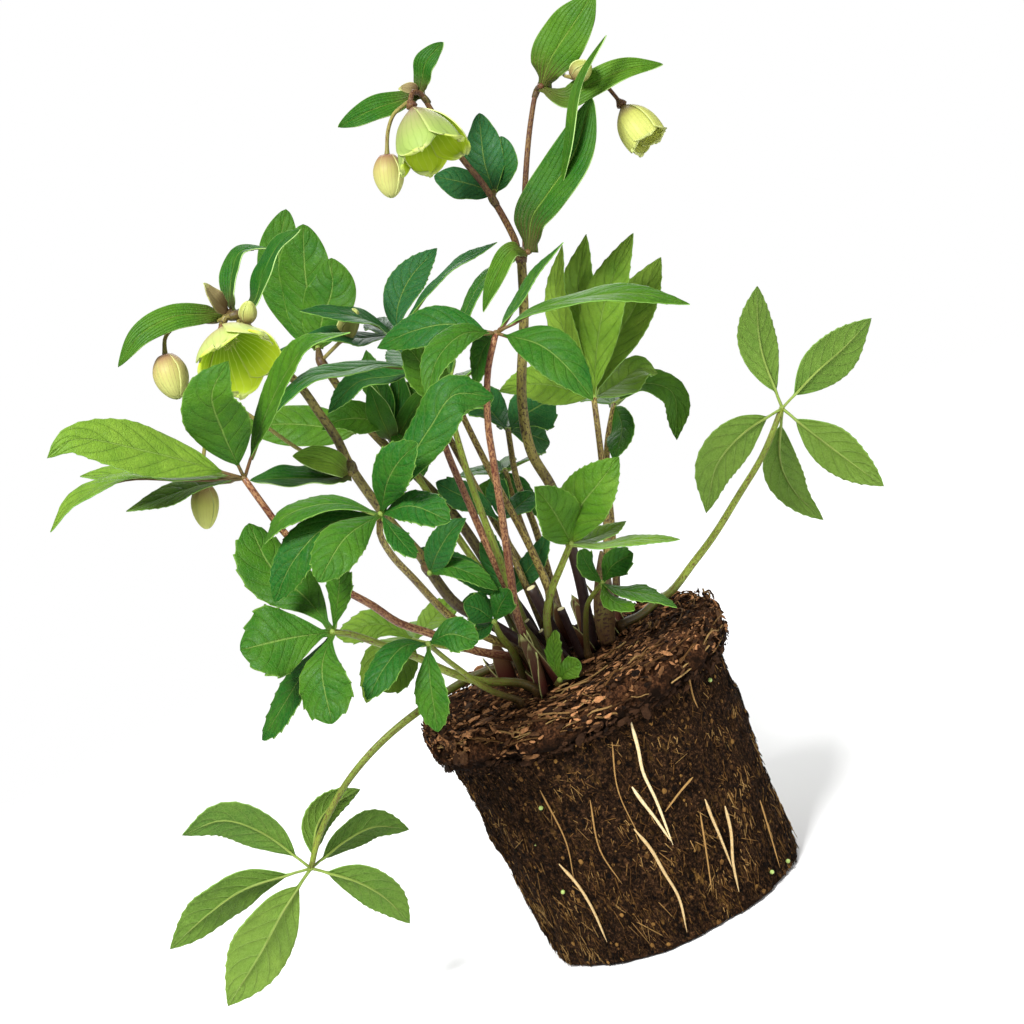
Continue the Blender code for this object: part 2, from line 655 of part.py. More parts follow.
def seat(route, goal, clearance):
    """The place beside a stem that is nearest to the goal, this far clear of its surface."""
    spans = []
    places, radii = route
    for start, end, radius in zip(places, places[1:], radii):
        for share in (0.0, 0.25, 0.5, 0.75):
            spans.append((start.lerp(end, share), (end - start).normalized(), radius))
    place, along, radius = min(spans, key=lambda span: (span[0] - goal).length)
    outward = goal - place
    outward = (outward - along * outward.dot(along)).normalized()
    return place + outward * (radius + clearance)


def stalked_leaves():
    green = material("leaf", LEAF_GREEN, 0.45)
    brown = material("leaf_stalk", STALK_BROWN, 0.5)
    for name, leaf in LEAVES.items():
        hub = spot(*leaf["hub"])
        blade = star("leaf_blade_" + name, hub, leaf["leaflets"], leaf["top_shows"], LEAF_THICKNESS, green)
        under = hub_underside(blade, hub)
        line = [spot(*point) for point in leaf["stalk"]]
        arrival = (hub - line[-1]).normalized()
        slant = math.sqrt(max(0.0, 1 - arrival.dot(under) ** 2))
        end = hub + under * (LEAF_THICKNESS / 2 + GAP + STALK_RADIUS * 0.8 * slant + 0.0001)
        places = rising_path(leaf["foot"], [*line, end], STALK_STEPS)
        radii = [STALK_RADIUS * (1.25 - 0.45 * index / (STALK_STEPS - 1)) for index in range(STALK_STEPS)]
        add_tube("leaf_stalk_" + name, places, radii, brown)


def hub_underside(blade, hub):
    """The way that the underside faces at the hub of a blade."""
    turned = Vector((0, 0, 0))
    for face in blade.data.polygons:
        if (face.center - hub).length < 0.006:
            turned -= face.normal
    return turned.normalized()


def basal_leaves():
    surface = material("basal_leaf", UNDERSIDE_GREEN, 0.5)
    for name, leaf in BASAL_LEAVES.items():
        hub = spot(*leaf["hub"])
        points = [spot(*point) for point in leaf["stalk"]]
        stalk = smooth_path([foot_place(leaf["foot"], BASAL_FOOT_HEIGHT), *points, hub], 8)
        star("basal_leaf_" + name, hub, leaf["leaflets"], leaf["top_shows"], 0.0012, surface, stalk)


def bracts(routes):
    """The bracts, each group held to its stem by a short sheath."""
    surface = material("bract", LEAF_GREEN, 0.45)
    for name, (stem, node, leaflets) in BRACTS.items():
        hub = spot(*node)
        sheath = [seat(routes[stem], hub, GAP + BRACT_THICKNESS / 2), hub]
        star("bracts_" + name, hub, leaflets, True, BRACT_THICKNESS, surface, sheath)


def young_shoot():
    """The closed shoot in the crown: a pointed spindle in its sheath."""
    rise = foot_place(SHOOT_FOOT, FOOT_RISE)
    places = [foot_place(SHOOT_FOOT)]
    places += [rise.lerp(spot(*SHOOT_TIP), share) for share in (0, 0.12, 0.3, 0.5, 0.7, 0.85, 1)]
    radii = [radius * MM for radius in (2.8, 3.0, 3.6, 4.2, 4.4, 3.4, 2.0, 0.5)]
    add_tube("young_shoot", places, radii, material("sheath", STALK_BROWN, 0.5))


def flower_frame(route, toward):
    """The middle of a flower's base, clear of its pedicel, the way it opens, and two directions across."""
    places, radii = route
    axis = (spot(*toward) - places[-1]).normalized()
    arrival = (places[-1] - places[-2]).normalized()
    slant = math.sqrt(max(0.0, 1 - arrival.dot(axis) ** 2))
    base = places[-1] + axis * (GAP + SEPAL_THICKNESS / 2 + radii[-1] * slant)
    east = axis.cross(Vector((0, 0, 1))).normalized()
    return base, axis, east, axis.cross(east)


def flowers(routes):
    lime = material("sepal", SEPAL_LIME, 0.5)
    tuft = material("stamen", BUD_CREAM, 0.6)
    cup_steps = ((0.0, 0.16), (0.12, 0.52), (0.34, 0.84), (0.62, 0.97), (1.0, 1.0))
    around = 20
    for name, (stem, toward, depth, mouth, openness) in FLOWERS.items():
        base, axis, east, north = flower_frame(routes[stem], toward)
        form = bmesh.new()
        bmesh.ops.create_circle(form, cap_ends=True, cap_tris=True, segments=around, radius=1)
        centre, loop = centre_and_rim(form)
        centre.co = base
        for step, (share, wide) in enumerate(cup_steps):
            if step:
                loop = grow_ring(form, loop)
            close = 1 - (1 - openness) * 0.45 * share
            for index, vert in enumerate(loop):
                turn = 2 * math.pi * index / around
                lobe = math.cos(5 * turn)
                reach = share * depth * (1 + 0.13 * share * lobe)
                radius = wide * mouth * close * (1 + 0.05 * share * lobe)
                out = east * math.cos(turn) + north * math.sin(turn)
                vert.co = base + axis * reach * MM + out * radius * MM
        bmesh.ops.recalc_face_normals(form, faces=form.faces)
        thicken(add_mesh("flower_cup_" + name, form, lime), SEPAL_THICKNESS)
        inside = base + axis * (SEPAL_THICKNESS / 2 + GAP + 0.0001)
        places = [inside + axis * length * MM for length in (0, 2, 6, 9, 11)]
        radii = [radius * MM for radius in (1.2, 3.2, 4.2, 3.6, 1.6)]
        add_tube("flower_centre_" + name, places, radii, tuft, 2)


def grow_ring(form, loop):
    """Extrudes the closed loop of points and gives the new loop in the same order."""
    edges = [form.edges.get((a, b)) for a, b in zip(loop, loop[1:] + loop[:1])]
    new = [item for item in bmesh.ops.extrude_edge_only(form, edges=edges)["geom"]
           if isinstance(item, bmesh.types.BMVert)]
    return [min(new, key=lambda vert: (vert.co - old.co).length) for old in loop]


def buds(routes):
    surface = material("bud", BUD_CREAM, 0.45)
    shape = ((0.0, 0.25), (0.12, 0.62), (0.3, 0.93), (0.5, 1.0), (0.7, 0.86), (0.88, 0.5), (1.0, 0.14))
    for name, (stem, radius, pedicel, tip) in BUDS.items():
        points = [spot(*point) for point in pedicel]
        joint = seat(routes[stem], points[0], GAP + PEDICEL_RADIUS * 0.5)
        line = smooth_path([joint, *points], 11)
        end = spot(*tip)
        places = line[:-1] + [line[-1].lerp(end, share) for share, _ in shape]
        radii = [PEDICEL_RADIUS] * 10 + [radius * MM * wide for _, wide in shape]
        add_tube("bud_" + name, places, radii, surface, 2)


for old in list(bpy.data.objects):
    bpy.data.objects.remove(old, do_unlink=True)
plant = bpy.data.collections.new("hellebore_plant")
bpy.context.scene.collection.children.link(plant)

root_ball()
top_dressing()
side_roots()
stem_routes = stems()
stalked_leaves()
basal_leaves()
bracts(stem_routes)
young_shoot()
flowers(stem_routes)
buds(stem_routes)
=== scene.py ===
"""The looks of a hellebore plant lifted out of its nursery container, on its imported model.

Metres, +Z up, with the origin at the middle of the root ball's flat base. The plant leans over in its
picture, so most places are picture points (1024 wide, y down) with a depth in millimetres behind the
plant's middle, and spot() turns them upright.
"""

import math
import random

import bmesh
import bpy
import numpy as np
from mathutils import Matrix, Vector, noise


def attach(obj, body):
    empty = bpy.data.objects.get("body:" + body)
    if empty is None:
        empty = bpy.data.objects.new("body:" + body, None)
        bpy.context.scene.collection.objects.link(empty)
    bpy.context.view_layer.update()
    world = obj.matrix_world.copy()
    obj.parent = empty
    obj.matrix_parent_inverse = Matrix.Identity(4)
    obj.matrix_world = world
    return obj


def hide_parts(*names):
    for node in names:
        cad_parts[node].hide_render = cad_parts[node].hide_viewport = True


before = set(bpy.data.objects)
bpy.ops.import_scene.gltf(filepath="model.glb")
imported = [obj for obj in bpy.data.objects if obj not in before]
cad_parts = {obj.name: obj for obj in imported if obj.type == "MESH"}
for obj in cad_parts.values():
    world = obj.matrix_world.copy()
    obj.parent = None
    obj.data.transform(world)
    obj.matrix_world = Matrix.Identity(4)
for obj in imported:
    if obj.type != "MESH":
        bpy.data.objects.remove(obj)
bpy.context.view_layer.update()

# Sizes in metres
BALL_HEIGHT = 0.106
BALL_TOP_RADIUS = 0.0675
BALL_BASE_RADIUS = 0.0615
MAT_THICKNESS = 0.0177
MAT_RADIUS = 0.0725
GAP = 0.0003
SOIL_TOP = BALL_HEIGHT + GAP + MAT_THICKNESS
STALK_RADIUS = 0.0019
RECEPTACLE_LENGTH = 0.0028
PEDICEL_RADIUS = 0.0009
SEPAL_THICKNESS = 0.0005
BLADE_THICKNESS = 0.00045
MM = 0.001
GOLDEN_ANGLE = 2.39996

# The picture that the places below were read from
METRES_PER_PIXEL = 0.00045
PICTURE_MIDDLE = 512
PICTURE_WIDTH = 1024
PICTURE_TARGET = Vector((0.0054, 0, 0.197))
VIEW_DISTANCE = 1.15
VIEW_HEIGHT = math.radians(9)
PLANT_LEAN = math.radians(24.5)
SENSOR_WIDTH = 36
FORWARD = Vector((0, math.cos(VIEW_HEIGHT), -math.sin(VIEW_HEIGHT)))
LEVEL_UP = Vector((0, math.sin(VIEW_HEIGHT), math.cos(VIEW_HEIGHT)))
PICTURE_RIGHT = Vector((1, 0, 0)) * math.cos(PLANT_LEAN) - LEVEL_UP * math.sin(PLANT_LEAN)
PICTURE_UP = Vector((1, 0, 0)) * math.sin(PLANT_LEAN) + LEVEL_UP * math.cos(PLANT_LEAN)
EYE = PICTURE_TARGET - FORWARD * VIEW_DISTANCE

# Soft lamps: place, size and power
LAMPS = (
    ("key", (-0.35, -0.95, 1.25), 0.4, 38.0),
    ("fill", (1.0, -0.8, 0.5), 0.9, 6.0),
    ("back", (0.3, 1.1, 0.9), 0.8, 12.0),
)

# How many bits are strewn
FIBRES_OF_EACH_KIND = 2500
WALL_CRUMBS = 4200
STRAWS = 130
BACK_ROOTS = 46
STAMENS = 44
NECTARIES = 11

# How finely things are drawn
CURVE_STEPS = 10
LEAFLET_ROWS = 60
ACROSS = (-1, -0.93, -0.78, -0.55, -0.3, -0.1, 0, 0.1, 0.3, 0.55, 0.78, 0.93, 1)

# How leaflets are shaped: where they are widest, how full they are, the half width of their foot as a
# part of the widest, tooth height and spacing in mm, the number and slant of their side veins, and the
# least and greatest fold
LEAF_VEINS = (8, 1.9)
BRACT_VEINS = (2.6, 4.5)
SHAPES = {
    "lance": (0.48, 0.88, 0.05, 0.6, 3.4, LEAF_VEINS, (0.12, 0.3)),
    "broad": (0.6, 0.78, 0.12, 1.0, 4.6, LEAF_VEINS, (0.06, 0.2)),
    "fan": (0.66, 0.78, 0.12, 1.3, 5.4, LEAF_VEINS, (0.04, 0.16)),
    "bract": (0.47, 0.72, 0.32, 0.0, 4.0, BRACT_VEINS, (0.16, 0.34)),
    "full_bract": (0.5, 0.62, 0.2, 0.0, 4.0, LEAF_VEINS, (0.02, 0.08)),
}

# What most leaves have, and most short basal ones
USUAL_LEAF = {"top_shows": True, "shape": "lance", "stalk_look": "brown_stalk", "radius": STALK_RADIUS}
USUAL_BASAL = {**USUAL_LEAF, "bare": 0.03, "shape": "broad", "stalk_look": "green_stalk", "radius": 0.0014}

# Leaves with a stalk: foot on the soil (x, y in mm), and stalk as picture points with their depth in mm, the
# last of them the leaf's hub. A leaflet is its full width in picture points, the share of it that faces the
# viewer, its midrib, and perhaps a tone of its own, or "brown".
# A tone runs from 0, dark blue-green, to 1, light yellow-green. Bare is the stalked share of each leaflet.
LEAVES = {
    "left": {
        "foot": (-17, -12), "tone": 0.85, "bare": 0.12,
        "stalk": ((520, 660, -16), (476, 651, -26), (432, 634, -38), (399, 623, -46), (372, 605, -54),
                  (341, 587, -60), (284, 532, -68), (262, 503, -72), (244, 478, -74)),
        "leaflets": (
            (52, 0.9, ((150, 452, -92), (72, 440, -104), (47, 458, -106)), 0.86),
            (38, 0.36, ((180, 478, -70), (124, 479, -68), (75, 500, -66), (50, 532, -64))),
            (40, 0.55, ((160, 472, -52), (80, 476, -38))),
            (38, 0.5, ((196, 486, -46), (126, 511, -24))),
            (60, 0.93, ((222, 430, -86), (212, 394, -94), (228, 361, -96)), 0.52),
            (34, 0.5, ((256, 440, -80), (270, 404, -88), (289, 368, -98), (308, 344, -106),
                       (350, 332, -112)), 0.55),
        ),
    },
    "front": {
        "foot": (-14, -21), "tone": 0.4, "bare": 0.03, "shape": "broad",
        "stalk": ((520, 652, -26), (487, 637, -38), (454, 619, -54), (438, 605, -64), (414, 579, -82),
                  (391, 554, -98), (380, 533, -106), (381, 514, -110)),
        "leaflets": (
            (46, 0.9, ((402, 473, -114), (431, 426, -116), (454, 395, -116), (494, 397, -114)), 0.36),
            (42, 0.85, ((388, 480, -124), (400, 460, -130), (417, 443, -134))),
            (38, 0.85, ((412, 506, -124), (450, 521, -134))),
            (34, 0.42, ((350, 505, -110), (322, 504, -108), (284, 517, -104), (264, 544, -100))),
            (44, 0.92, ((345, 538, -128), (318, 582, -140)), 0.5),
            (40, 0.88, ((330, 524, -106), (294, 560, -106), (274, 602, -104))),
            (22, 0.8, ((396, 535, -118), (416, 558, -124))),
        ),
    },
    "low_left": {
        "foot": (-17, -40), "tone": 0.46, "bare": 0.02, "shape": "fan", "stalk_look": "green_stalk",
        "stalk": ((520, 683, -42), (480, 681, -56), (452, 673, -68), (416, 657, -84), (372, 641, -98),
                  (350, 634, -104), (333, 632, -108)),
        "leaflets": (
            (68, 0.92, ((290, 638, -112), (240, 650, -114))),
            (34, 0.7, ((304, 672, -94), (262, 740, -80))),
            (50, 0.92, ((322, 668, -122), (332, 724, -132))),
            (60, 0.9, ((308, 600, -90), (270, 566, -76), (249, 523, -66)), 0.5),
            (26, 0.85, ((338, 598, -116), (341, 560, -120))),
        ),
    },
    "hanging": {
        "foot": (-28, 3), "top_shows": False, "tone": 0.34, "bare": 0.14, "stalk_look": "green_stalk",
        "stalk": ((500, 668, 4), (474, 676, 4), (449, 690, 4), (420, 710, 2), (391, 733, 1), (366, 758, 0),
                  (345, 785, 0), (328, 815, 0), (317, 842, 0), (311, 868, 0)),
        "leaflets": (
            (42, 0.9, ((262, 832, -4), (222, 820, -8), (182, 835, -10))),
            (48, 0.9, ((245, 888, 0), (210, 912, 4), (170, 949, 8))),
            (64, 0.95, ((283, 910, -10), (262, 950, -14), (228, 1006, -16)), 0.62),
            (44, 0.9, ((355, 880, 2), (385, 897, 4), (410, 923, 6))),
            (38, 0.85, ((345, 840, 12), (375, 826, 18), (409, 829, 24))),
            (36, 0.85, ((316, 826, 16), (330, 806, 24), (360, 789, 30))),
        ),
    },
    "right": {
        "foot": (29, 9), "top_shows": False, "tone": 0.5, "bare": 0.14, "stalk_look": "green_stalk",
        "stalk": ((640, 616, 12), (656, 602, 17), (672, 591, 24), (692, 565, 32), (713, 537, 40),
                  (739, 495, 52), (763, 455, 62), (782, 408, 70)),
        "leaflets": (
            (44, 0.92, ((762, 356, 78), (757, 321, 82), (757, 286, 82))),
            (50, 0.92, ((817, 371, 78), (842, 349, 84), (871, 318, 88))),
            (48, 0.92, ((817, 436, 62), (838, 452, 56), (884, 486, 48))),
            (42, 0.9, ((780, 462, 86), (794, 492, 92), (823, 520, 96))),
            (48, 0.92, ((742, 434, 58), (716, 466, 50), (706, 513, 44))),
        ),
    },
    "small_front": {
        "foot": (-5, -37), "tone": 0.72, "bare": 0.0, "stalk_look": "green_stalk",
        "stalk": ((550, 640, -40), (547, 615, -45), (552, 590, -50), (562, 565, -56), (571, 543, -62)),
        "leaflets": (
            (54, 0.94, ((580, 508, -68), (598, 484, -72), (619, 457, -74))),
            (46, 0.92, ((560, 522, -70), (548, 503, -78), (535, 487, -84))),
            (26, 0.6, ((598, 536, -50), (626, 521, -42))),
            (24, 0.45, ((600, 545, -64), (640, 539, -68), (680, 539, -70))),
        ),
    },
    "tall_front": {
        "foot": (-11, -29), "tone": 0.38, "bare": 0.1,
        "stalk": ((530, 648, -31), (517, 616, -35), (511, 577, -40), (502, 515, -47), (494, 464, -52),
                  (488, 423, -55), (488, 372, -56), (496, 333, -56)),
        "leaflets": (
            (46, 0.92, ((540, 345, -72), (566, 366, -80), (593, 400, -86)), 0.45),
            (36, 0.5, ((530, 312, -60), (573, 299, -66), (635, 293, -70), (690, 304, -72)), 0.6),
            (34, 0.8, ((463, 334, -66), (438, 358, -74), (426, 398, -80))),
            (42, 0.85, ((450, 324, -48), (410, 332, -42), (377, 348, -36))),
            (24, 0.3, ((515, 305, -46), (540, 268, -40), (563, 242, -36))),
            (28, 0.7, ((482, 352, -36), (473, 390, -26))),
        ),
    },
    "back_left": {
        "foot": (-4, 21), "tone": 0.08, "bare": 0.06,
        "stalk": ((540, 600, 30), (494, 520, 44), (440, 420, 62), (410, 360, 72), (396, 334, 76)),
        "leaflets": (
            (42, 0.88, ((398, 306, 84), (410, 278, 90), (437, 248, 94))),
            (26, 0.4, ((414, 310, 70), (432, 286, 66), (458, 263, 62), (497, 242, 56))),
            (34, 0.5, ((372, 322, 56), (342, 314, 38), (300, 311, 28))),
            (34, 0.45, ((362, 338, 60), (330, 336, 40), (275, 352, 28))),
            (38, None, ((404, 322, 100), (412, 316, 128))),
            (34, None, ((384, 326, 98), (366, 322, 122))),
        ),
    },
    "centre_left": {
        "foot": (-15, 4), "tone": 0.3, "bare": 0.06,
        "stalk": ((525, 628, 2), (505, 584, 0), (484, 538, -2), (465, 494, -5), (448, 454, -9),
                  (434, 410, -13), (421, 370, -16)),
        "leaflets": (
            (26, 0.4, ((383, 364, -24), (345, 371, -46), (306, 380, -62), (268, 422, -68),
                       (252, 460, -68))),
            (32, 0.75, ((392, 376, -10), (358, 382, -8), (328, 413, -6))),
            (30, 0.7, ((428, 350, -18), (436, 328, -18))),
            (34, None, ((404, 356, 4), (392, 344, 24))),
        ),
    },
    "centre": {
        "foot": (-8, 10), "tone": 0.5, "bare": 0.06,
        "stalk": ((549, 592, 10), (539, 566, 11), (522, 531, 12), (502, 494, 14), (481, 453, 16),
                  (463, 416, 18), (450, 384, 20)),
        "leaflets": (
            (28, 0.45, ((453, 352, 20), (466, 310, 22), (487, 275, 26), (528, 250, 30))),
            (36, None, ((440, 366, 40), (430, 352, 62))),
            (36, None, ((470, 372, 36), (486, 362, 56))),
            (30, 0.6, ((428, 376, 18), (400, 350, 16))),
        ),
    },
    "right_upright": {
        "foot": (17, 15), "tone": 0.88, "bare": 0.05,
        "stalk": ((606, 600, 17), (607, 545, 20), (606, 504, 24), (601, 453, 30), (594, 398, 38)),
        "leaflets": (
            (54, 0.92, ((606, 358, 46), (632, 312, 54), (661, 257, 60))),
            (46, 0.92, ((597, 346, 34), (608, 290, 28), (633, 233, 24))),
            (44, 0.92, ((588, 350, 50), (578, 290, 60), (586, 234, 66))),
            (28, 0.88, ((574, 356, 38), (556, 300, 40), (562, 245, 42))),
            (44, 0.8, ((620, 382, 62), (640, 368, 72), (658, 373, 80))),
            (44, 0.85, ((564, 388, 30), (534, 384, 22), (499, 391, 14))),
        ),
    },
    "back_dark": {
        "foot": (4, 26), "tone": 0.15, "bare": 0.06, "shape": "broad",
        "stalk": ((556, 600, 34), (536, 530, 50), (517, 480, 64), (508, 430, 80)),
        "leaflets": (
            (56, 0.88, ((526, 414, 88), (553, 398, 94))),
            (48, 0.85, ((490, 410, 92), (470, 388, 98))),
            (44, 0.8, ((528, 434, 98), (550, 442, 110))),
            (42, None, ((512, 420, 104), (516, 406, 136))),
        ),
    },
    "back_right": {
        "foot": (23, 23), "tone": 0.5, "bare": 0.06,
        "stalk": ((616, 590, 34), (612, 530, 52), (607, 450, 76), (614, 404, 90)),
        "leaflets": (
            (38, 0.85, ((640, 384, 94), (672, 392, 96), (677, 440, 96))),
            (34, 0.85, ((622, 428, 72), (614, 460, 58))),
            (40, None, ((624, 396, 112), (634, 386, 138))),
            (40, None, ((598, 396, 108), (582, 384, 128))),
        ),
    },
}

# Leaves whose stalk and ribs are red
RED_STALKED = ("left", "tall_front", "centre_left")

# Leaves deeper in the plant, that fill it between the larger ones
INNER_LEAVES = {
    "low": {
        "foot": (-6, 2), "tone": 0.25, "bare": 0.04,
        "stalk": ((530, 640, 2), (515, 618, 8), (505, 600, 14)),
        "leaflets": (
            (30, 0.85, ((480, 580, 10), (440, 556, 6), (418, 548, 4))),
            (28, 0.8, ((500, 575, 20), (490, 545, 24), (486, 520, 26))),
            (30, 0.8, ((520, 580, 22), (540, 552, 28), (548, 530, 30))),
            (28, 0.8, ((492, 606, 6), (470, 604, 2), (462, 612, 0))),
        ),
    },
    "dark": {
        "foot": (-4, 14), "tone": 0.12, "bare": 0.04, "shape": "broad",
        "stalk": ((532, 600, 14), (515, 560, 22), (500, 520, 30)),
        "leaflets": (
            (34, 0.85, ((480, 505, 30), (450, 490, 30), (436, 482, 30))),
            (30, 0.8, ((500, 500, 34), (492, 478, 38))),
            (30, 0.8, ((516, 508, 36), (534, 492, 42))),
        ),
    },
    "left": {
        "foot": (-16, 10), "tone": 0.42, "bare": 0.04, "stalk_look": "green_stalk",
        "stalk": ((500, 600, 14), (460, 540, 22), (420, 480, 26), (392, 430, 28)),
        "leaflets": (
            (36, 0.85, ((372, 420, 26), (340, 420, 22), (322, 430, 20))),
            (36, 0.8, ((385, 405, 32), (372, 375, 34), (366, 350, 36))),
            (36, 0.8, ((405, 410, 34), (420, 385, 38), (424, 362, 40))),
            (32, 0.85, ((402, 440, 22), (418, 456, 18), (424, 476, 14))),
        ),
    },
    "middle": {
        "foot": (-9, -8), "tone": 0.62, "bare": 0.04, "shape": "broad", "stalk_look": "green_stalk",
        "stalk": ((528, 630, -8), (500, 560, -12), (470, 480, -18), (452, 420, -22)),
        "leaflets": (
            (44, 0.88, ((438, 392, -24), (420, 362, -26), (404, 342, -26))),
            (30, 0.7, ((470, 404, -20), (492, 392, -16))),
            (34, 0.85, ((436, 432, -26), (416, 448, -28), (404, 468, -28))),
        ),
    },
    "front_low": {
        "foot": (-20, -20), "tone": 0.28, "bare": 0.02, "shape": "broad", "stalk_look": "green_stalk",
        "stalk": ((512, 650, -30), (500, 635, -38), (494, 622, -42)),
        "leaflets": (
            (30, 0.9, ((480, 610, -46), (464, 604, -48))),
            (28, 0.85, ((500, 606, -44), (510, 590, -46))),
            (22, 0.8, ((484, 628, -44), (468, 631, -46))),
        ),
    },
    "bright": {
        "foot": (2, -40), "tone": 0.7, "bare": 0.0, "shape": "broad", "stalk_look": "green_stalk",
        "stalk": ((558, 684, -44), (560, 680, -46)),
        "leaflets": (
            (22, 0.95, ((566, 672, -48), (574, 666, -49), (580, 662, -50))),
            (16, 0.9, ((556, 668, -46), (553, 650, -46), (556, 630, -45))),
        ),
    },
    "rear": {
        "foot": (2, 32), "tone": 0.4, "bare": 0.05,
        "stalk": ((552, 600, 60), (520, 520, 88), (505, 470, 104)),
        "leaflets": (
            (38, None, ((520, 462, 116), (546, 452, 128))),
            (38, None, ((500, 464, 120), (498, 462, 138))),
            (36, None, ((484, 470, 114), (452, 478, 122))),
            (34, 0.7, ((492, 490, 100), (472, 516, 98))),
            (34, 0.7, ((520, 490, 100), (538, 516, 98))),
        ),
    },
}

# Short basal leaves
BASAL_LEAVES = {
    "right": {
        "foot": (10, -16), "tone": 0.5,
        "stalk": ((586, 628, -19), (588, 604, -23), (602, 583, -28)),
        "leaflets": (
            (32, 0.85, ((612, 566, -30), (633, 553, -32))),
            (26, 0.5, ((622, 590, -40), (650, 595, -48), (677, 607, -52))),
            (22, 0.7, ((612, 600, -42), (634, 610, -54))),
            (24, 0.8, ((588, 566, -36), (580, 550, -40))),
        ),
    },
    "left": {
        "foot": (-26, -46), "tone": 0.42,
        "stalk": ((490, 690, -56), (455, 666, -80), (428, 644, -98)),
        "leaflets": (
            (34, 0.92, ((450, 634, -102), (478, 642, -106))),
            (32, 0.92, ((430, 680, -108), (438, 732, -112))),
            (34, 0.8, ((404, 646, -106), (384, 668, -112), (367, 700, -116))),
        ),
    },
    "back": {
        "foot": (-21, 21), "tone": 0.95,
        "stalk": ((478, 652, 54), (440, 646, 84), (414, 640, 100)),
        "leaflets": (
            (38, 0.85, ((380, 624, 104), (336, 636, 108))),
            (42, 0.85, ((404, 664, 92), (384, 692, 86))),
            (40, 0.8, ((430, 622, 108), (452, 600, 116))),
            (36, None, ((412, 630, 120), (410, 622, 146))),
            (36, 0.85, ((398, 645, 78), (378, 662, 66), (366, 703, 60))),
        ),
    },
    "far_back": {
        "foot": (13, 36), "top_shows": False, "tone": 0.5,
        "stalk": ((577, 614, 50), (573, 602, 74), (582, 612, 96), (608, 666, 112)),
        "leaflets": (
            (38, None, ((622, 684, 126), (644, 712, 136))),
            (36, None, ((600, 690, 124), (598, 724, 136))),
            (36, None, ((636, 664, 120), (668, 680, 128))),
            (34, None, ((586, 668, 120), (560, 684, 132))),
        ),
    },
}

# Bracts: their stem, tone and shape, the place of their hub, then each bract as a leaflet
BRACTS = {
    "fork": ("tall", 0.66, "bract", (528, 252, -3), (
        (50, 0.92, ((532, 218, -4), (546, 196, -6), (572, 158, -8), (592, 98, -8)), 0.42),
        (17, 0.6, ((550, 206, -2), (568, 150, -11), (578, 84, -13), (606, 35, -11)), 0.55),
        (24, 0.7, ((512, 250, -8), (498, 272, -8), (483, 312, -8))),
    )),
    "behind_fork": ("tall_left", 0.05, "full_bract", (494, 192, 8), (
        (36, 0.88, ((470, 184, 12), (434, 176, 14))),
        (42, 0.9, ((484, 160, 18), (479, 113, 22))),
        (34, 0.85, ((502, 170, 14), (501, 136, 18))),
    )),
    "top_right": ("tall_right", 0.6, "bract", (541, 86, 8), (
        (50, 0.93, ((550, 60, 4), (572, 26, 0), (594, -8, -2))),
        (28, 0.88, ((566, 98, 4), (592, 84, 2), (626, 69, 0), (663, 64, -2))),
    )),
    "top_left": ("tall_left", 0.5, "bract", (420, 93, -5), (
        (24, 0.9, ((422, 80, -5), (426, 62, -7), (443, 42, -8))),
        (28, 0.9, ((402, 100, -4), (374, 109, -6), (338, 127, -8))),
        (13, 0.8, ((411, 89, -8), (399, 89, -11)), "brown"),
    )),
    "left_top": ("left", 0.45, "bract", (230, 312, -50), (
        (28, 0.88, ((206, 314, -54), (172, 317, -58), (140, 335, -60), (118, 367, -60)), 0.6),
        (28, 0.4, ((230, 296, -46), (232, 274, -42), (240, 252, -38), (268, 248, -34))),
        (36, 0.45, ((252, 304, -52), (264, 271, -54), (279, 244, -56), (300, 229, -56))),
        (20, 0.7, ((216, 300, -58), (204, 283, -62)), "brown"),
    )),
    "back_top": ("back", 0.6, "full_bract", (318, 348, 64), (
        (54, 0.96, ((300, 318, 70), (279, 262, 73), (286, 209, 75)), 0.5),
        (62, 0.96, ((312, 318, 64), (305, 272, 65), (303, 224, 66)), 0.5),
        (56, 0.96, ((322, 320, 60), (332, 290, 59), (331, 258, 60)), 0.5),
    )),
    "back_left": ("back", 0.62, "full_bract", (357, 430, 60), (
        (50, 0.9, ((334, 428, 64), (292, 424, 68), (244, 426, 70))),
        (34, None, ((362, 420, 72), (358, 410, 98))),
    )),
    "left_middle": ("left", 0.5, "bract", (350, 474, -40), (
        (30, 0.85, ((330, 462, -46), (293, 456, -50)), 0.78),
        (36, 0.6, ((326, 478, -44), (290, 478, -46), (250, 480, -44)), 0.35),
    )),
    "left_low": ("left", 0.3, "lance", (430, 573, -28), (
        (24, 0.9, ((446, 566, -36), (472, 574, -42), (498, 590, -44))),
        (32, 0.85, ((438, 552, -36), (452, 530, -38), (466, 518, -38))),
    )),
    "centre": ("back", 0.42, "bract", (394, 444, 26), (
        (28, 0.88, ((382, 420, 22), (369, 385, 18))),
        (30, 0.88, ((398, 408, 32), (399, 368, 36))),
        (28, 0.88, ((410, 416, 24), (432, 386, 22))),
        (22, None, ((398, 430, 44), (402, 414, 62))),
    )),
}

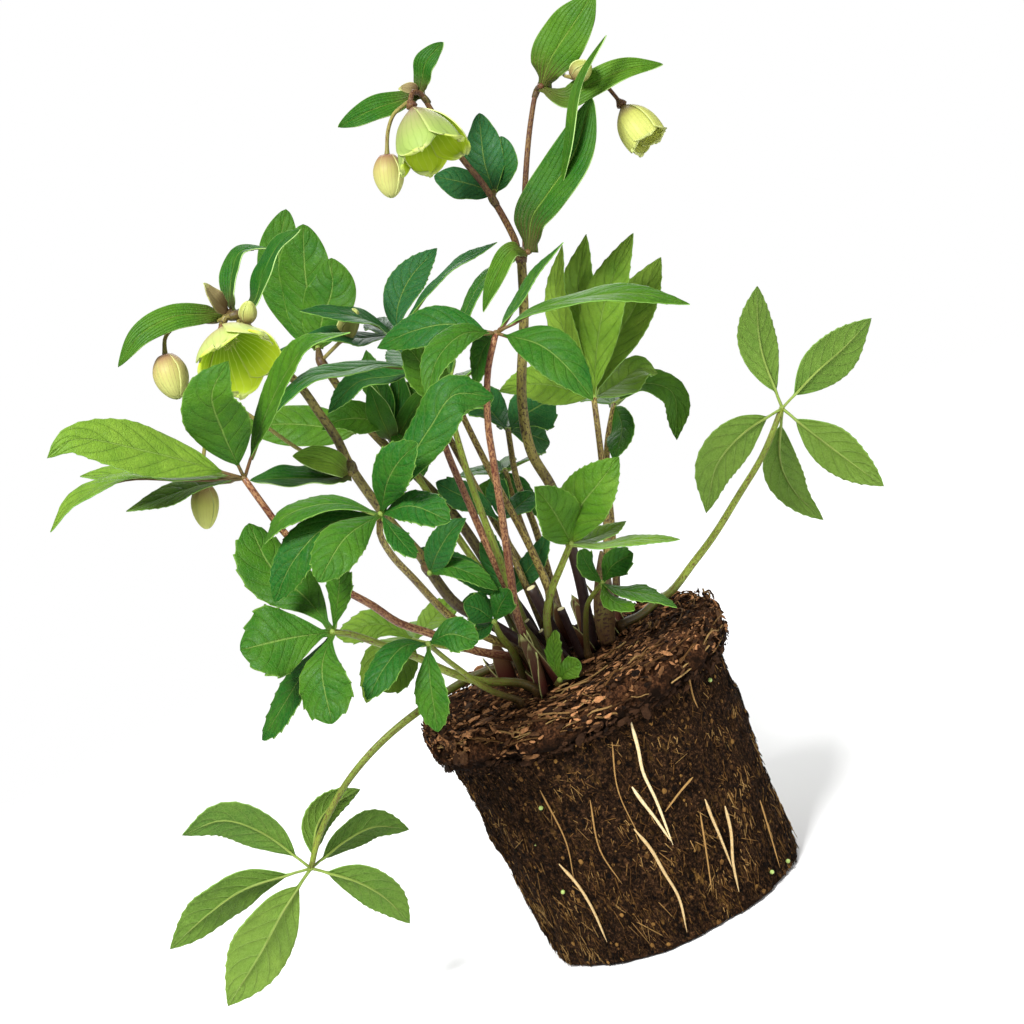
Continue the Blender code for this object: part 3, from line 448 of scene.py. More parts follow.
# Stems: foot on the soil or None, radius at the start and at the end in mm, look, and picture points
STEMS = {
    "tall": ((13, 3), 2.6, 2.1, "stem",
             ((586, 610, 4), (575, 560, 4), (553, 490, 3), (531, 451, 3), (522, 400, 4), (524, 312, 5),
              (521, 252, 6))),
    "tall_right": (None, 1.5, 0.9, "flower_stalk",
                   ((525.5, 251, 6.2), (525.5, 243, 7), (525, 191, 12), (531, 120, 16), (538, 88, 18),
                    (552, 70, 20), (584, 72, 20), (606, 86, 19), (619, 101, 18))),
    "tall_left": (None, 1.6, 1.1, "flower_stalk",
                  ((516.5, 251, 6), (516, 243, 5), (485, 187, 0), (461, 157, -3), (430, 108, -8),
                   (421, 94, -10), (413, 92, -14), (410, 102, -19))),
    "left": ((-9, -5), 2.8, 1.6, "stem",
             ((524, 645, -7), (490, 623, -10), (456, 604, -14), (437, 581, -16), (421, 556, -18),
              (393, 525, -22), (364, 487, -28), (349, 464, -32), (337, 439, -36), (320, 414, -40),
              (301, 387, -44), (276, 362, -49), (253, 333, -54), (238, 317, -58), (227, 316, -58),
              (222, 326, -60))),
    "back": ((-10, 16), 2.8, 1.8, "stem",
             ((530, 625, 20), (498, 580, 27), (459, 521, 35), (428, 487, 40), (395, 455, 46),
              (362, 420, 52), (320, 360, 60))),
}

# Flowers: the stem that ends in them, a point that the cup opens towards, its depth and mouth radius in mm,
# and how wide it stands open, from 0 to 1
FLOWERS = {
    "top": ("tall_left", (434, 156, -30), 26, 15, 1.0),
    "left": ("left", (240, 366, -77), 22, 17, 1.0),
    "right": ("tall_right", (645, 136, 10), 21.5, 13, 0.25),
}

# Buds: the stem that carries them, radius in mm, pedicel as picture points, then the far end of the bud
BUDS = {
    "top": ("tall_left", 6.3,
            ((403, 106, -15), (394, 114, -13), (388, 131, -11), (387, 156, -11)), (392, 199, -14)),
    "left": ("left", 6.9,
             ((214, 322, -50), (184, 322, -46), (166, 336, -47), (165, 357, -50)), (179, 400, -56)),
    "low": ("left", 5.6,
            ((340, 470, -24), (300, 450, -28), (262, 424, -32), (232, 407, -34), (212, 420, -35),
             (204, 452, -34), (204, 486, -32)), (207, 530, -30)),
}
SMALL_BUDS = (
    ("tall_right", 4.4, ((566, 76, 2), (573, 77, -2)), (591, 62, -4)),
    ("left", 3.3, ((238, 325, -62), (247, 322, -66)), (249, 300, -68)),
    ("back", 4.4, ((330, 352, 58), (342, 340, 54)), (356, 308, 50)),
)

# Roots on the ball's side: picture points from top to bottom, and their thickness in mm
SIDE_ROOTS = {
    "front": (((630, 719), (638, 748), (643, 772), (656, 800), (673, 845)), 0.85),
    "right": (((705, 799), (712, 818), (719, 834), (732, 867)), 0.75),
    "low": (((559, 864), (577, 884), (592, 908), (607, 942)), 0.75),
}
THIN_ROOTS = (
    (((632, 787), (641, 800), (655, 818), (671, 841)), 0.85),
    (((634, 829), (650, 848), (664, 872), (679, 898), (687, 932)), 0.8),
    (((725, 806), (731, 832), (733, 862), (739, 892)), 0.8),
    (((687, 666), (693, 696), (698, 708)), 0.5),
    (((693, 777), (680, 792), (665, 812)), 0.55),
    (((612, 742), (618, 790), (640, 838)), 0.35),
    (((590, 800), (600, 850), (622, 884)), 0.4),
    (((700, 812), (706, 850), (712, 892)), 0.45),
    (((540, 790), (566, 842), (574, 880)), 0.4),
    (((760, 800), (772, 840), (780, 868)), 0.4),
)
BEADS = ((541, 808), (536, 844), (563, 892), (772, 872), (788, 861), (710, 680))

# Stubs of old stalks: foot on the soil, the cut end as a picture point, radius in mm
CUT_STUBS = (
    ((1, -6), (531, 588, -12), 2.4),
    ((7, -10), (561, 609, -14), 1.9),
    ((-2, -22), (527, 621, -26), 1.4),
    ((2, -24), (541, 631, -28), 1.4),
)

# The closed shoot in the crown
SHOOT_FOOT = (21, -4)
SHOOT_TIP = (601, 551, -6)


def spot(x, y, depth):
    """The place on the plant of the picture point (x, y), depth millimetres behind the plant's middle."""
    ray = (FORWARD * VIEW_DISTANCE
           + PICTURE_RIGHT * (x - PICTURE_MIDDLE) * METRES_PER_PIXEL
           + PICTURE_UP * (PICTURE_MIDDLE - y) * METRES_PER_PIXEL)
    return EYE + ray * ((depth * MM - EYE.y) / ray.y)


def spots(points):
    return [spot(*point) for point in points]


def ball_radius(height):
    return BALL_BASE_RADIUS + (BALL_TOP_RADIUS - BALL_BASE_RADIUS) * height / BALL_HEIGHT


def on_ball_side(x, y, raised_by):
    """The place where the picture point (x, y) meets the root ball's side, raised outward from it."""
    near, far = -100.0, 0.0
    for _ in range(40):
        middle = (near + far) / 2
        place = spot(x, y, middle)
        if math.hypot(place.x, place.y) > ball_radius(place.z) + raised_by:
            near = middle
        else:
            far = middle
    return place


def shares(count):
    """count even steps from 0 to 1."""
    return [index / (count - 1) for index in range(count)]


def level(turn):
    """The level direction at this turn round the plant."""
    return Vector((math.cos(turn), math.sin(turn), 0))


def swung(east, north, turn):
    """The direction at this turn from east towards north."""
    return east * math.cos(turn) + north * math.sin(turn)


def square_to(axis, direction):
    """The direction, turned until it is square to the axis."""
    return (direction - axis * direction.dot(axis)).normalized()


def clamped(value):
    return min(1, max(0, value))


def between(start, end, early, late, when):
    """The value at the time when, on the line that is at start early and at end late."""
    return start + (end - start) * ((when - early) / (late - early))


def smooth_path(points, count):
    """count places, evenly spaced, along a smooth curve through the points."""
    ends = [points[0] * 2 - points[1], *points, points[-1] * 2 - points[-2]]
    fine = []
    for a, b, c, d in zip(ends, ends[1:], ends[2:], ends[3:]):
        knots = [0.0]
        for start, end in ((a, b), (b, c), (c, d)):
            knots.append(knots[-1] + math.sqrt((end - start).length))
        for step in range(CURVE_STEPS):
            when = knots[1] + (knots[2] - knots[1]) * step / CURVE_STEPS
            ab = between(a, b, knots[0], knots[1], when)
            bc = between(b, c, knots[1], knots[2], when)
            cd = between(c, d, knots[2], knots[3], when)
            abc = between(ab, bc, knots[0], knots[2], when)
            bcd = between(bc, cd, knots[1], knots[3], when)
            fine.append(between(abc, bcd, knots[1], knots[2], when))
    fine.append(points[-1])
    return even_spacing(fine, count)


def even_spacing(points, count):
    """count places at equal distances along the chain of points, both ends among them."""
    run = [0.0]
    for start, end in zip(points, points[1:]):
        run.append(run[-1] + (end - start).length)
    places = []
    piece = 0
    for index in range(count):
        goal = run[-1] * index / (count - 1)
        while piece < len(points) - 2 and run[piece + 1] < goal:
            piece += 1
        share = (goal - run[piece]) / max(run[piece + 1] - run[piece], 1e-9)
        places.append(points[piece].lerp(points[piece + 1], min(share, 1)))
    return places


def foot_place(foot, height=0.0):
    """The place of a stem's foot on the soil, raised by a height."""
    return Vector((foot[0] * MM, foot[1] * MM, SOIL_TOP + GAP + height))


def rising_path(foot, points, count):
    """count places from the soil, straight up at first, and then smoothly through the points."""
    rise = foot_place(foot, 0.003)
    return [foot_place(foot)] + smooth_path([rise, *points], count - 1)


def clear_selection():
    bpy.ops.object.select_all(action="DESELECT")


def bent_grid(columns, rows, place_of):
    """A grid of faces whose point at each column and row is put where place_of says."""
    clear_selection()
    bpy.ops.mesh.primitive_grid_add(x_subdivisions=columns, y_subdivisions=rows, size=2)
    piece = bpy.context.object
    for vert in piece.data.vertices:
        column = round((vert.co.x + 1) / 2 * columns)
        row = round((vert.co.y + 1) / 2 * rows)
        vert.co = place_of(column, row)
    bpy.ops.object.shade_smooth()
    return piece


def spread_map(piece, across_of, along_of):
    """Moves each point of a grid's UV map to the places that the two functions give for it."""
    for corner in piece.data.uv_layers.active.data:
        corner.uv = (across_of(corner.uv[0]), along_of(corner.uv[1]))


def close_up(piece, reach):
    """Merges the points of a rolled-up grid that meet, fills its open ends and turns its faces outwards."""
    form = bmesh.new()
    form.from_mesh(piece.data)
    bmesh.ops.remove_doubles(form, verts=form.verts, dist=reach)
    bmesh.ops.holes_fill(form, edges=[edge for edge in form.edges if edge.is_boundary], sides=0)
    bmesh.ops.recalc_face_normals(form, faces=form.faces)
    form.to_mesh(piece.data)
    form.free()


def give_wall(piece, sides, thickness):
    """Gives a sheet its thickness, with a surface each for its front, its back and its edge."""
    for surface in sides:
        piece.data.materials.append(surface)
    wall = piece.modifiers.new("Wall", "SOLIDIFY")
    wall.thickness = thickness
    wall.offset = -1
    wall.material_offset = 1
    wall.material_offset_rim = 2
    bpy.ops.object.modifier_apply(modifier="Wall")


def transported_frames(places):
    """Two directions square to the path at each place, that turn as little as they can."""
    frames = []
    side = None
    for index in range(len(places)):
        along = (places[min(index + 1, len(places) - 1)] - places[max(index - 1, 0)]).normalized()
        if side is None:
            side = along.orthogonal().normalized()
        side = square_to(along, side)
        frames.append((side, along.cross(side)))
    return frames


def tube(places, radii, sides, surface, bumps=None):
    """A closed tube along the places, as a grid rolled up, its map running round it and along it in cm."""
    frames = transported_frames(places)
    run = [0.0]
    for start, end in zip(places, places[1:]):
        run.append(run[-1] + (end - start).length * 100)

    def place_of(column, row):
        turn = 2 * math.pi * column / sides
        east, north = frames[row]
        radius = radii[row] * (bumps(turn, row) if bumps else 1)
        return places[row] + swung(east, north, turn) * radius

    piece = bent_grid(sides, len(places) - 1, place_of)
    rows = len(places) - 1
    spread_map(piece, lambda u: u, lambda v: run[round(v * rows)])
    close_up(piece, 1e-6)
    piece.data.materials.append(surface)
    bpy.ops.object.shade_smooth()
    return piece


def small_ball(place, radius, segments, rings, surface):
    clear_selection()
    bpy.ops.mesh.primitive_uv_sphere_add(segments=segments, ring_count=rings, radius=radius, location=place)
    bpy.ops.object.transform_apply(location=True, rotation=False, scale=False)
    bpy.ops.object.shade_smooth()
    bpy.context.object.data.materials.append(surface)
    return bpy.context.object


def join(name, pieces):
    """One named piece out of several."""
    clear_selection()
    for piece in pieces:
        piece.select_set(True)
    bpy.context.view_layer.objects.active = pieces[0]
    if len(pieces) > 1:
        bpy.ops.object.join()
    whole = bpy.context.object
    whole.name = name
    whole.data.name = name
    return whole


def settle(piece, slot, *nodes):
    """The finished piece rides with the plant, and stands for its nodes of the model."""
    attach(piece, "root")
    if nodes:
        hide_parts(*nodes)


def strew(name, model, places, surface, tones):
    """Copies of a modelled bit, one at each place, as one piece with a tone for each copy, and no model."""
    form = bmesh.new()
    layer = form.verts.layers.float.new("tone")
    done = 0
    for place, tone in zip(places, tones):
        bit = model.data.copy()
        bit.transform(place)
        form.from_mesh(bit)
        bpy.data.meshes.remove(bit)
        form.verts.ensure_lookup_table()
        for index in range(done, len(form.verts)):
            form.verts[index][layer] = tone
        done = len(form.verts)
    mesh = bpy.data.meshes.new(name)
    form.to_mesh(mesh)
    form.free()
    mesh.materials.append(surface)
    piece = bpy.data.objects.new(name, mesh)
    bpy.context.scene.collection.objects.link(piece)
    bpy.data.objects.remove(model, do_unlink=True)
    return piece


def aimed(place, along, up, sizes):
    """A placing matrix: local Y runs along, local Z towards up, and the bit is scaled by the sizes."""
    y = along.normalized()
    x = y.cross(up).normalized()
    z = x.cross(y)
    turn = Matrix((x, y, z)).transposed().to_4x4()
    return Matrix.Translation(place) @ turn @ Matrix.Diagonal((*sizes, 1))


# Materials

def ink(red, green, blue):
    """A colour in 0 to 255 steps as a linear colour."""
    linear = []
    for value in (red, green, blue):
        value /= 255
        linear.append(value / 12.92 if value <= 0.04045 else ((value + 0.055) / 1.055) ** 2.4)
    return (*linear, 1)


def node(tree, kind, inputs=(), **settings):
    """A new node with its settings and inputs, a value or a socket each."""
    made = tree.nodes.new(kind)
    for key, value in settings.items():
        setattr(made, key, value)
    for key, value in dict(inputs).items():
        if isinstance(value, bpy.types.NodeSocket):
            tree.links.new(value, made.inputs[key])
        else:
            made.inputs[key].default_value = value
    return made


def maths(tree, operation, first, second=0.0, clamp=False):
    made = node(tree, "ShaderNodeMath", {0: first, 1: second}, operation=operation, use_clamp=clamp)
    return made.outputs[0]


def times(tree, first, second, clamp=False):
    return maths(tree, "MULTIPLY", first, second, clamp)


def plus(tree, first, second, clamp=False):
    return maths(tree, "ADD", first, second, clamp)


def minus(tree, first, second):
    return maths(tree, "SUBTRACT", first, second)


def smooth_step(tree, value, low, high):
    """0 below low, 1 above high, and smooth between."""
    made = node(tree, "ShaderNodeMapRange", {"Value": value, "From Min": low, "From Max": high},
                interpolation_type="SMOOTHSTEP")
    return made.outputs[0]


def mixed(tree, share, first, second):
    made = node(tree, "ShaderNodeMix", {"Factor": share, 6: first, 7: second}, data_type="RGBA")
    return made.outputs[2]


def ramp(tree, value, stops):
    """A colour from a value by (position, colour) stops."""
    made = node(tree, "ShaderNodeValToRGB", {"Fac": value})
    elements = made.color_ramp.elements
    while len(elements) < len(stops):
        elements.new(0.5)
    for element, (position, colour) in zip(elements, stops):
        element.position = position
        element.color = colour
    return made.outputs[0]


def object_place(tree, stretch=(1, 1, 1)):
    here = node(tree, "ShaderNodeTexCoord").outputs["Object"]
    if stretch == (1, 1, 1):
        return here
    return node(tree, "ShaderNodeMapping", {"Vector": here, "Scale": stretch}).outputs[0]


def cloudy(tree, place, scale, detail=3.0, roughness=0.6):
    made = node(tree, "ShaderNodeTexNoise", {"Vector": place, "Scale": scale, "Detail": detail,
                                            "Roughness": roughness})
    return made.outputs["Fac"]


def dress(tree, shader, colour, height, distance, strength):
    """Gives the shader its colour, and its relief from the heights."""
    bumps = node(tree, "ShaderNodeBump", {"Height": height, "Distance": distance, "Strength": strength})
    tree.links.new(colour, shader.inputs["Base Color"])
    tree.links.new(bumps.outputs[0], shader.inputs["Normal"])


def above_base(tree):
    """The height above the base."""
    return node(tree, "ShaderNodeSeparateXYZ", {0: object_place(tree)}).outputs[2]


def give_results(group, result, values):
    for label, value in values.items():
        group.links.new(value, result.inputs[label])


def new_group(name, inputs, outputs):
    group = bpy.data.node_groups.new(name, "ShaderNodeTree")
    for label in inputs:
        group.interface.new_socket(name=label, in_out="INPUT", socket_type="NodeSocketFloat")
    for label in outputs:
        group.interface.new_socket(name=label, in_out="OUTPUT", socket_type="NodeSocketFloat")
    return group, node(group, "NodeGroupInput"), node(group, "NodeGroupOutput")


def vein_group():
    """The veins of a leaf from its map: side veins that slant to the tip, the midrib, margin and network."""
    group, given, result = new_group("leaf_veins", ("Across", "Along", "Count", "Slant"),
                                     ("Veins", "Midrib", "Margin", "Network", "Quilt"))
    centred = minus(group, given.outputs["Across"], 0.5)
    side = times(group, maths(group, "ABSOLUTE", centred), 2)
    bend = times(group, side, plus(group, times(group, side, 0.4), 0.6))
    forward = times(group, bend, given.outputs["Slant"])
    along = times(group, given.outputs["Along"], given.outputs["Count"])
    other_side = times(group, maths(group, "GREATER_THAN", centred, 0.0), 0.5)
    count = plus(group, minus(group, along, forward), other_side)
    near = maths(group, "ABSOLUTE", minus(group, maths(group, "FRACT", count), 0.5))
    width = minus(group, 0.465, times(group, side, -0.02))
    veins = smooth_step(group, near, minus(group, width, 0.04), 0.5)
    fade = minus(group, 1.0, smooth_step(group, side, 0.6, 1.0))
    narrow = minus(group, 0.062, times(group, given.outputs["Along"], 0.025))
    cells = node(group, "ShaderNodeTexVoronoi", {"Vector": object_place(group), "Scale": 620.0},
                 feature="DISTANCE_TO_EDGE")
    give_results(group, result, {
        "Quilt": minus(group, 1.0, smooth_step(group, near, 0.2, 0.5)),
        "Veins": times(group, veins, fade),
        "Midrib": minus(group, 1.0, smooth_step(group, side, 0.012, narrow)),
        "Margin": smooth_step(group, side, 0.955, 0.995),
        "Network": minus(group, 1.0, smooth_step(group, cells.outputs["Distance"], 0.02, 0.16)),
    })
    return group


def speckle_group():
    """Small streaky specks along a stalk, from its map, and a slow change of shade."""
    group, given, result = new_group("stalk_speckles", ("Round", "Run", "Amount"),
                                     ("Specks", "Streaks", "Shade"))
    round_way = maths(group, "SINE", times(group, given.outputs["Round"], 2 * math.pi))
    other_way = maths(group, "COSINE", times(group, given.outputs["Round"], 2 * math.pi))
    place = node(group, "ShaderNodeCombineXYZ", {"X": times(group, round_way, 1.5),
                                                 "Y": times(group, given.outputs["Run"], 4.6),
                                                 "Z": times(group, other_way, 1.5)})
    grain = cloudy(group, place.outputs[0], 1.5, 3.0, 0.6)
    edge = minus(group, 0.66, times(group, given.outputs["Amount"], 0.26))
    drawn_out = node(group, "ShaderNodeCombineXYZ", {"X": times(group, round_way, 3.0),
                                                     "Y": times(group, given.outputs["Run"], 0.9),
                                                     "Z": times(group, other_way, 3.0)})
    give_results(group, result, {
        "Specks": smooth_step(group, grain, edge, plus(group, edge, 0.05)),
        "Streaks": smooth_step(group, cloudy(group, drawn_out.outputs[0], 1.3, 2.0), 0.5, 0.62),
        "Shade": cloudy(group, object_place(group), 55.0, 2.0),
    })
    return group


def own_map(tree):
    """The two coordinates of a piece's own map."""
    here = node(tree, "ShaderNodeUVMap", uv_map="UVMap").outputs[0]
    split = node(tree, "ShaderNodeSeparateXYZ", {0: here})
    return split.outputs[0], split.outputs[1]


def tone_of(tree):
    return node(tree, "ShaderNodeAttribute", attribute_name="tone").outputs["Fac"]


def new_material(name, roughness, gloss):
    surface = bpy.data.materials.new(name)
    surface.use_nodes = True
    shader = surface.node_tree.nodes["Principled BSDF"]
    shader.inputs["Roughness"].default_value = roughness
    shader.inputs["Specular IOR Level"].default_value = gloss
    return surface, surface.node_tree, shader


def let_light_through(tree, shader, colour, share):
    """Mixes light from behind into the shader."""
    behind = node(tree, "ShaderNodeBsdfTranslucent", {"Color": colour})
    both = node(tree, "ShaderNodeMixShader", {0: share, 1: shader.outputs[0], 2: behind.outputs[0]})
    output = tree.nodes["Material Output"]
    tree.links.new(both.outputs[0], output.inputs["Surface"])


def blade_material(name, colours, line_colours, foot, veining, roughness, vein_rise):
    """A side of a leaf, dark to light by tone, with its veins, midrib, edge and foot in their own colours,
    and painted shade along the grooves of its veins.
    """
    vein_colour, midrib_colour, edge_colour = line_colours
    surface, tree, shader = new_material(name, roughness, 0.14)
    across, along = own_map(tree)
    count, slant = veining
    veins = node(tree, "ShaderNodeGroup", {"Across": across, "Along": along, "Count": float(count),
                                           "Slant": slant}, node_tree=VEINS)
    broad = cloudy(tree, object_place(tree), 70.0, 3.0)
    fine = cloudy(tree, object_place(tree), 420.0, 2.0)
    shift = times(tree, minus(tree, broad, 0.5), 0.5)
    toned = plus(tree, tone_of(tree), shift, clamp=True)
    base = ramp(tree, toned, [(index / (len(colours) - 1), colour) for index, colour in enumerate(colours)])
    foot_colour, foot_reach, foot_share = foot
    near_foot = minus(tree, 1.0, smooth_step(tree, along, 0.0, foot_reach))
    stripes = maths(tree, "COSINE", times(tree, plus(tree, across, times(tree, shift, 0.1)),
                                         2 * math.pi * 9))
    near_foot = times(tree, near_foot, plus(tree, foot_share, times(tree, stripes, 0.3)),
                      clamp=True)
    mottle_and_groove_shade = plus(tree, times(tree, fine, 0.5), 0.68)
    # Painted shade: the leaf is darker along its side veins, where the quilted blade dips into grooves, and
    # lighter on the humps between them.
    mottle_and_groove_shade = plus(tree, mottle_and_groove_shade, times(tree, veins.outputs["Quilt"], 0.08))
    base = node(tree, "ShaderNodeHueSaturation", {"Color": base, "Value": mottle_and_groove_shade}).outputs[0]
    base = mixed(tree, times(tree, veins.outputs["Network"], 0.14), base, vein_colour)
    base = mixed(tree, times(tree, veins.outputs["Veins"], 0.26), base, vein_colour)
    base = mixed(tree, near_foot, base, foot_colour)
    base = mixed(tree, times(tree, veins.outputs["Midrib"], 0.5), base, midrib_colour)
    base = mixed(tree, times(tree, veins.outputs["Margin"], 0.5), base, edge_colour)
    gloss = plus(tree, times(tree, broad, 0.18), roughness - 0.08)
    tree.links.new(gloss, shader.inputs["Roughness"])
    lines = plus(tree, times(tree, veins.outputs["Veins"], vein_rise),
                  times(tree, veins.outputs["Midrib"], vein_rise * 1.4))
    lines = plus(tree, lines, times(tree, veins.outputs["Network"], vein_rise * 0.45))
    lines = plus(tree, lines, times(tree, fine, 0.4))
    lines = plus(tree, lines, times(tree, veins.outputs["Quilt"], -0.5 * vein_rise))
    dress(tree, shader, base, lines, 0.00028, 0.9)
    let_light_through(tree, shader, mixed(tree, 0.4, base, ink(140, 180, 20)), 0.16)
    return surface


def plain_blade_material(name, colour, roughness):
    """The cut edge of a thin leaf or sepal."""
    surface, tree, shader = new_material(name, roughness, 0.2)
    grain = cloudy(tree, object_place(tree), 500.0, 2.0)
    light = tuple(min(1, value * 1.5) for value in colour[:3]) + (1,)
    tree.links.new(mixed(tree, grain, colour, light), shader.inputs["Base Color"])
    return surface


def stalk_material(name, low, high, speck, amount, roughness, foot=None):
    """A stalk whose colour changes round and along it, with specks, and perhaps a foot of its own colour."""
    surface, tree, shader = new_material(name, roughness, 0.28)
    across, along = own_map(tree)
    marks = node(tree, "ShaderNodeGroup", {"Round": across, "Run": along, "Amount": amount},
                 node_tree=SPECKLES)
    shade = smooth_step(tree, marks.outputs["Shade"], 0.3, 0.7)
    base = mixed(tree, shade, low, high)
    if foot:
        foot_colour, start, end = foot
        base = mixed(tree, smooth_step(tree, along, start, end), foot_colour, base)
    base = mixed(tree, times(tree, marks.outputs["Streaks"], 0.5), base, speck)
    base = mixed(tree, times(tree, marks.outputs["Specks"], 0.85), base, speck)
    ribs = maths(tree, "SINE", times(tree, across, 2 * math.pi * 9))
    height = plus(tree, times(tree, ribs, 0.4), marks.outputs["Specks"])
    dress(tree, shader, base, height, 0.0001, 0.6)
    return surface


def sepal_material(name, pale, deep, base_colour, vein_colour, glow, painted_glow=0.0):
    """A sepal, deeper in its throat, with veins that spread from its base, and perhaps a painted glow, an
    emission that brightens it where it lies in shade.
    """
    rim = ink(200, 210, 130)
    surface, tree, shader = new_material(name, 0.5, 0.25)
    across, along = own_map(tree)
    wander = times(tree, minus(tree, cloudy(tree, object_place(tree), 160.0), 0.5), 0.1)
    fan = times(tree, plus(tree, minus(tree, across, 0.5), wander), 2 * math.pi * 8)
    waves = maths(tree, "COSINE", fan)
    veins = smooth_step(tree, waves, 0.75, 1.0)
    shade = plus(tree, along, times(tree, wander, 2.0), clamp=True)
    base = ramp(tree, shade, [(0.0, base_colour), (0.3, deep), (0.62, pale), (0.86, pale), (1.0, rim)])
    side = times(tree, maths(tree, "ABSOLUTE", minus(tree, across, 0.5)), 2)
    base = mixed(tree, times(tree, smooth_step(tree, side, 0.9, 1.0), 0.5), base, rim)
    base = mixed(tree, times(tree, veins, 0.4), base, vein_colour)
    height = plus(tree, veins, times(tree, cloudy(tree, object_place(tree), 600.0), 0.5))
    dress(tree, shader, base, height, 0.0001, 0.5)
    # Painted glow: the sepal gives off its own colour as light, to brighten it where shade falls on it.
    tree.links.new(base, shader.inputs["Emission Color"])
    shader.inputs["Emission Strength"].default_value = painted_glow
    let_light_through(tree, shader, mixed(tree, 0.4, base, ink(214, 228, 110)), glow)
    return surface


def crumb_material(name, stops, roughness):
    """Peat, bark and roots, in colours by each bit's tone, with a fine grain."""
    surface, tree, shader = new_material(name, roughness, 0.08)
    grain = cloudy(tree, object_place(tree), 900.0, 4.0, 0.7)
    shift = times(tree, minus(tree, grain, 0.5), 0.6)
    base = ramp(tree, plus(tree, tone_of(tree), shift, clamp=True), stops)
    dress(tree, shader, base, grain, 0.0004, 0.8)
    return surface


def peat_material():
    """Dark peat, crossed by a fine felt of tan rootlets that mostly run down it."""
    surface, tree, shader = new_material("peat", 0.95, 0.03)
    wide = cloudy(tree, object_place(tree), 45.0, 4.0)
    grain = cloudy(tree, object_place(tree), 700.0, 5.0, 0.75)
    down = cloudy(tree, object_place(tree, (1, 1, 0.22)), 620.0, 3.0, 0.6)
    slant = cloudy(tree, object_place(tree, (0.8, 0.8, 0.35)), 430.0, 3.0, 0.6)
    base = ramp(tree, grain, [(0.37, ink(8, 5, 4)), (0.53, ink(37, 25, 16)), (0.68, ink(94, 65, 42))])
    felt = smooth_step(tree, down, 0.54, 0.66)
    felt = times(tree, felt, smooth_step(tree, wide, 0.4, 0.62))
    low = minus(tree, 1.0, smooth_step(tree, above_base(tree), 0.015, 0.095))
    felt = times(tree, felt, plus(tree, times(tree, low, 0.7), 0.3))
    base = mixed(tree, times(tree, felt, 0.75), base, ink(120, 88, 44))
    wisps = times(tree, smooth_step(tree, slant, 0.58, 0.7), 0.5)
    base = mixed(tree, wisps, base, ink(70, 46, 26))
    dress(tree, shader, base, plus(tree, grain, times(tree, felt, 0.5)), 0.0012, 1.0)
    return surface


def bark_material():
    """The crumbly mat of the top: red-brown and near-black crumbs."""
    surface, tree, shader = new_material("bark_mat", 0.95, 0.03)
    grain = cloudy(tree, object_place(tree), 520.0, 5.0, 0.75)
    wide = cloudy(tree, object_place(tree), 90.0, 3.0)
    base = ramp(tree, grain, [(0.34, ink(14, 9, 6)), (0.48, ink(54, 34, 22)), (0.62, ink(98, 64, 40)),
                              (0.78, ink(132, 92, 60))])
    base = mixed(tree, smooth_step(tree, wide, 0.45, 0.7), base, ink(24, 15, 9))
    height = plus(tree, above_base(tree), times(tree, minus(tree, wide, 0.5), 0.02))
    base = mixed(tree, smooth_step(tree, height, SOIL_TOP - 0.0165, SOIL_TOP - 0.011), ink(22, 14, 9), base)
    dress(tree, shader, base, grain, 0.0014, 1.0)
    return surface


# Leaves

def faces_up(place, along, leaflet_share, top_shows, turn):
    """The way a leaf's upper side faces at a place, so that this share of its width faces the viewer."""
    if leaflet_share is None:
        return square_to(along, Vector((0, 0, 1)))
    square = square_to(along, (EYE - place).normalized())
    tilt = math.acos(leaflet_share)
    side = 1 if top_shows else -1
    return square * math.cos(tilt) * side + along.cross(square) * math.sin(tilt) * turn


def outline(share, bare, shape):
    """The half width of a leaflet at a share of its length, as a part of the widest."""
    widest, fullness, foot = SHAPES[shape][:3]
    if share <= bare:
        return foot
    blade_share = (share - bare) / (1 - bare)
    curve = math.sin(math.pi * blade_share ** (math.log(0.5) / math.log(widest))) ** fullness
    return max(foot * (1 - blade_share), curve)


def leaf_rows(hub, leaflet, top_shows, bare, shape, luck):
    """(place, along, up, half width) at each row of a leaflet."""
    width, share, midrib = leaflet[:3]
    fine = smooth_path([hub] + spots(midrib), LEAFLET_ROWS + 1)
    skyward = (fine[-1] - fine[0]).cross(EYE - fine[LEAFLET_ROWS // 2]).z
    turn = 1 if skyward >= 0 else -1
    twist = luck.uniform(-0.22, 0.22)
    rows = []
    for row, place in enumerate(fine):
        along = (fine[min(row + 1, LEAFLET_ROWS)] - fine[max(row - 1, 0)]).normalized()
        up = faces_up(place, along, share, top_shows, turn)
        when = row / LEAFLET_ROWS
        up = Matrix.Rotation(twist * math.sin(math.pi * when * 1.4), 3, along) @ up
        rows.append((place, along, up, width * METRES_PER_PIXEL / 2 * outline(when, bare, shape)))
    return rows


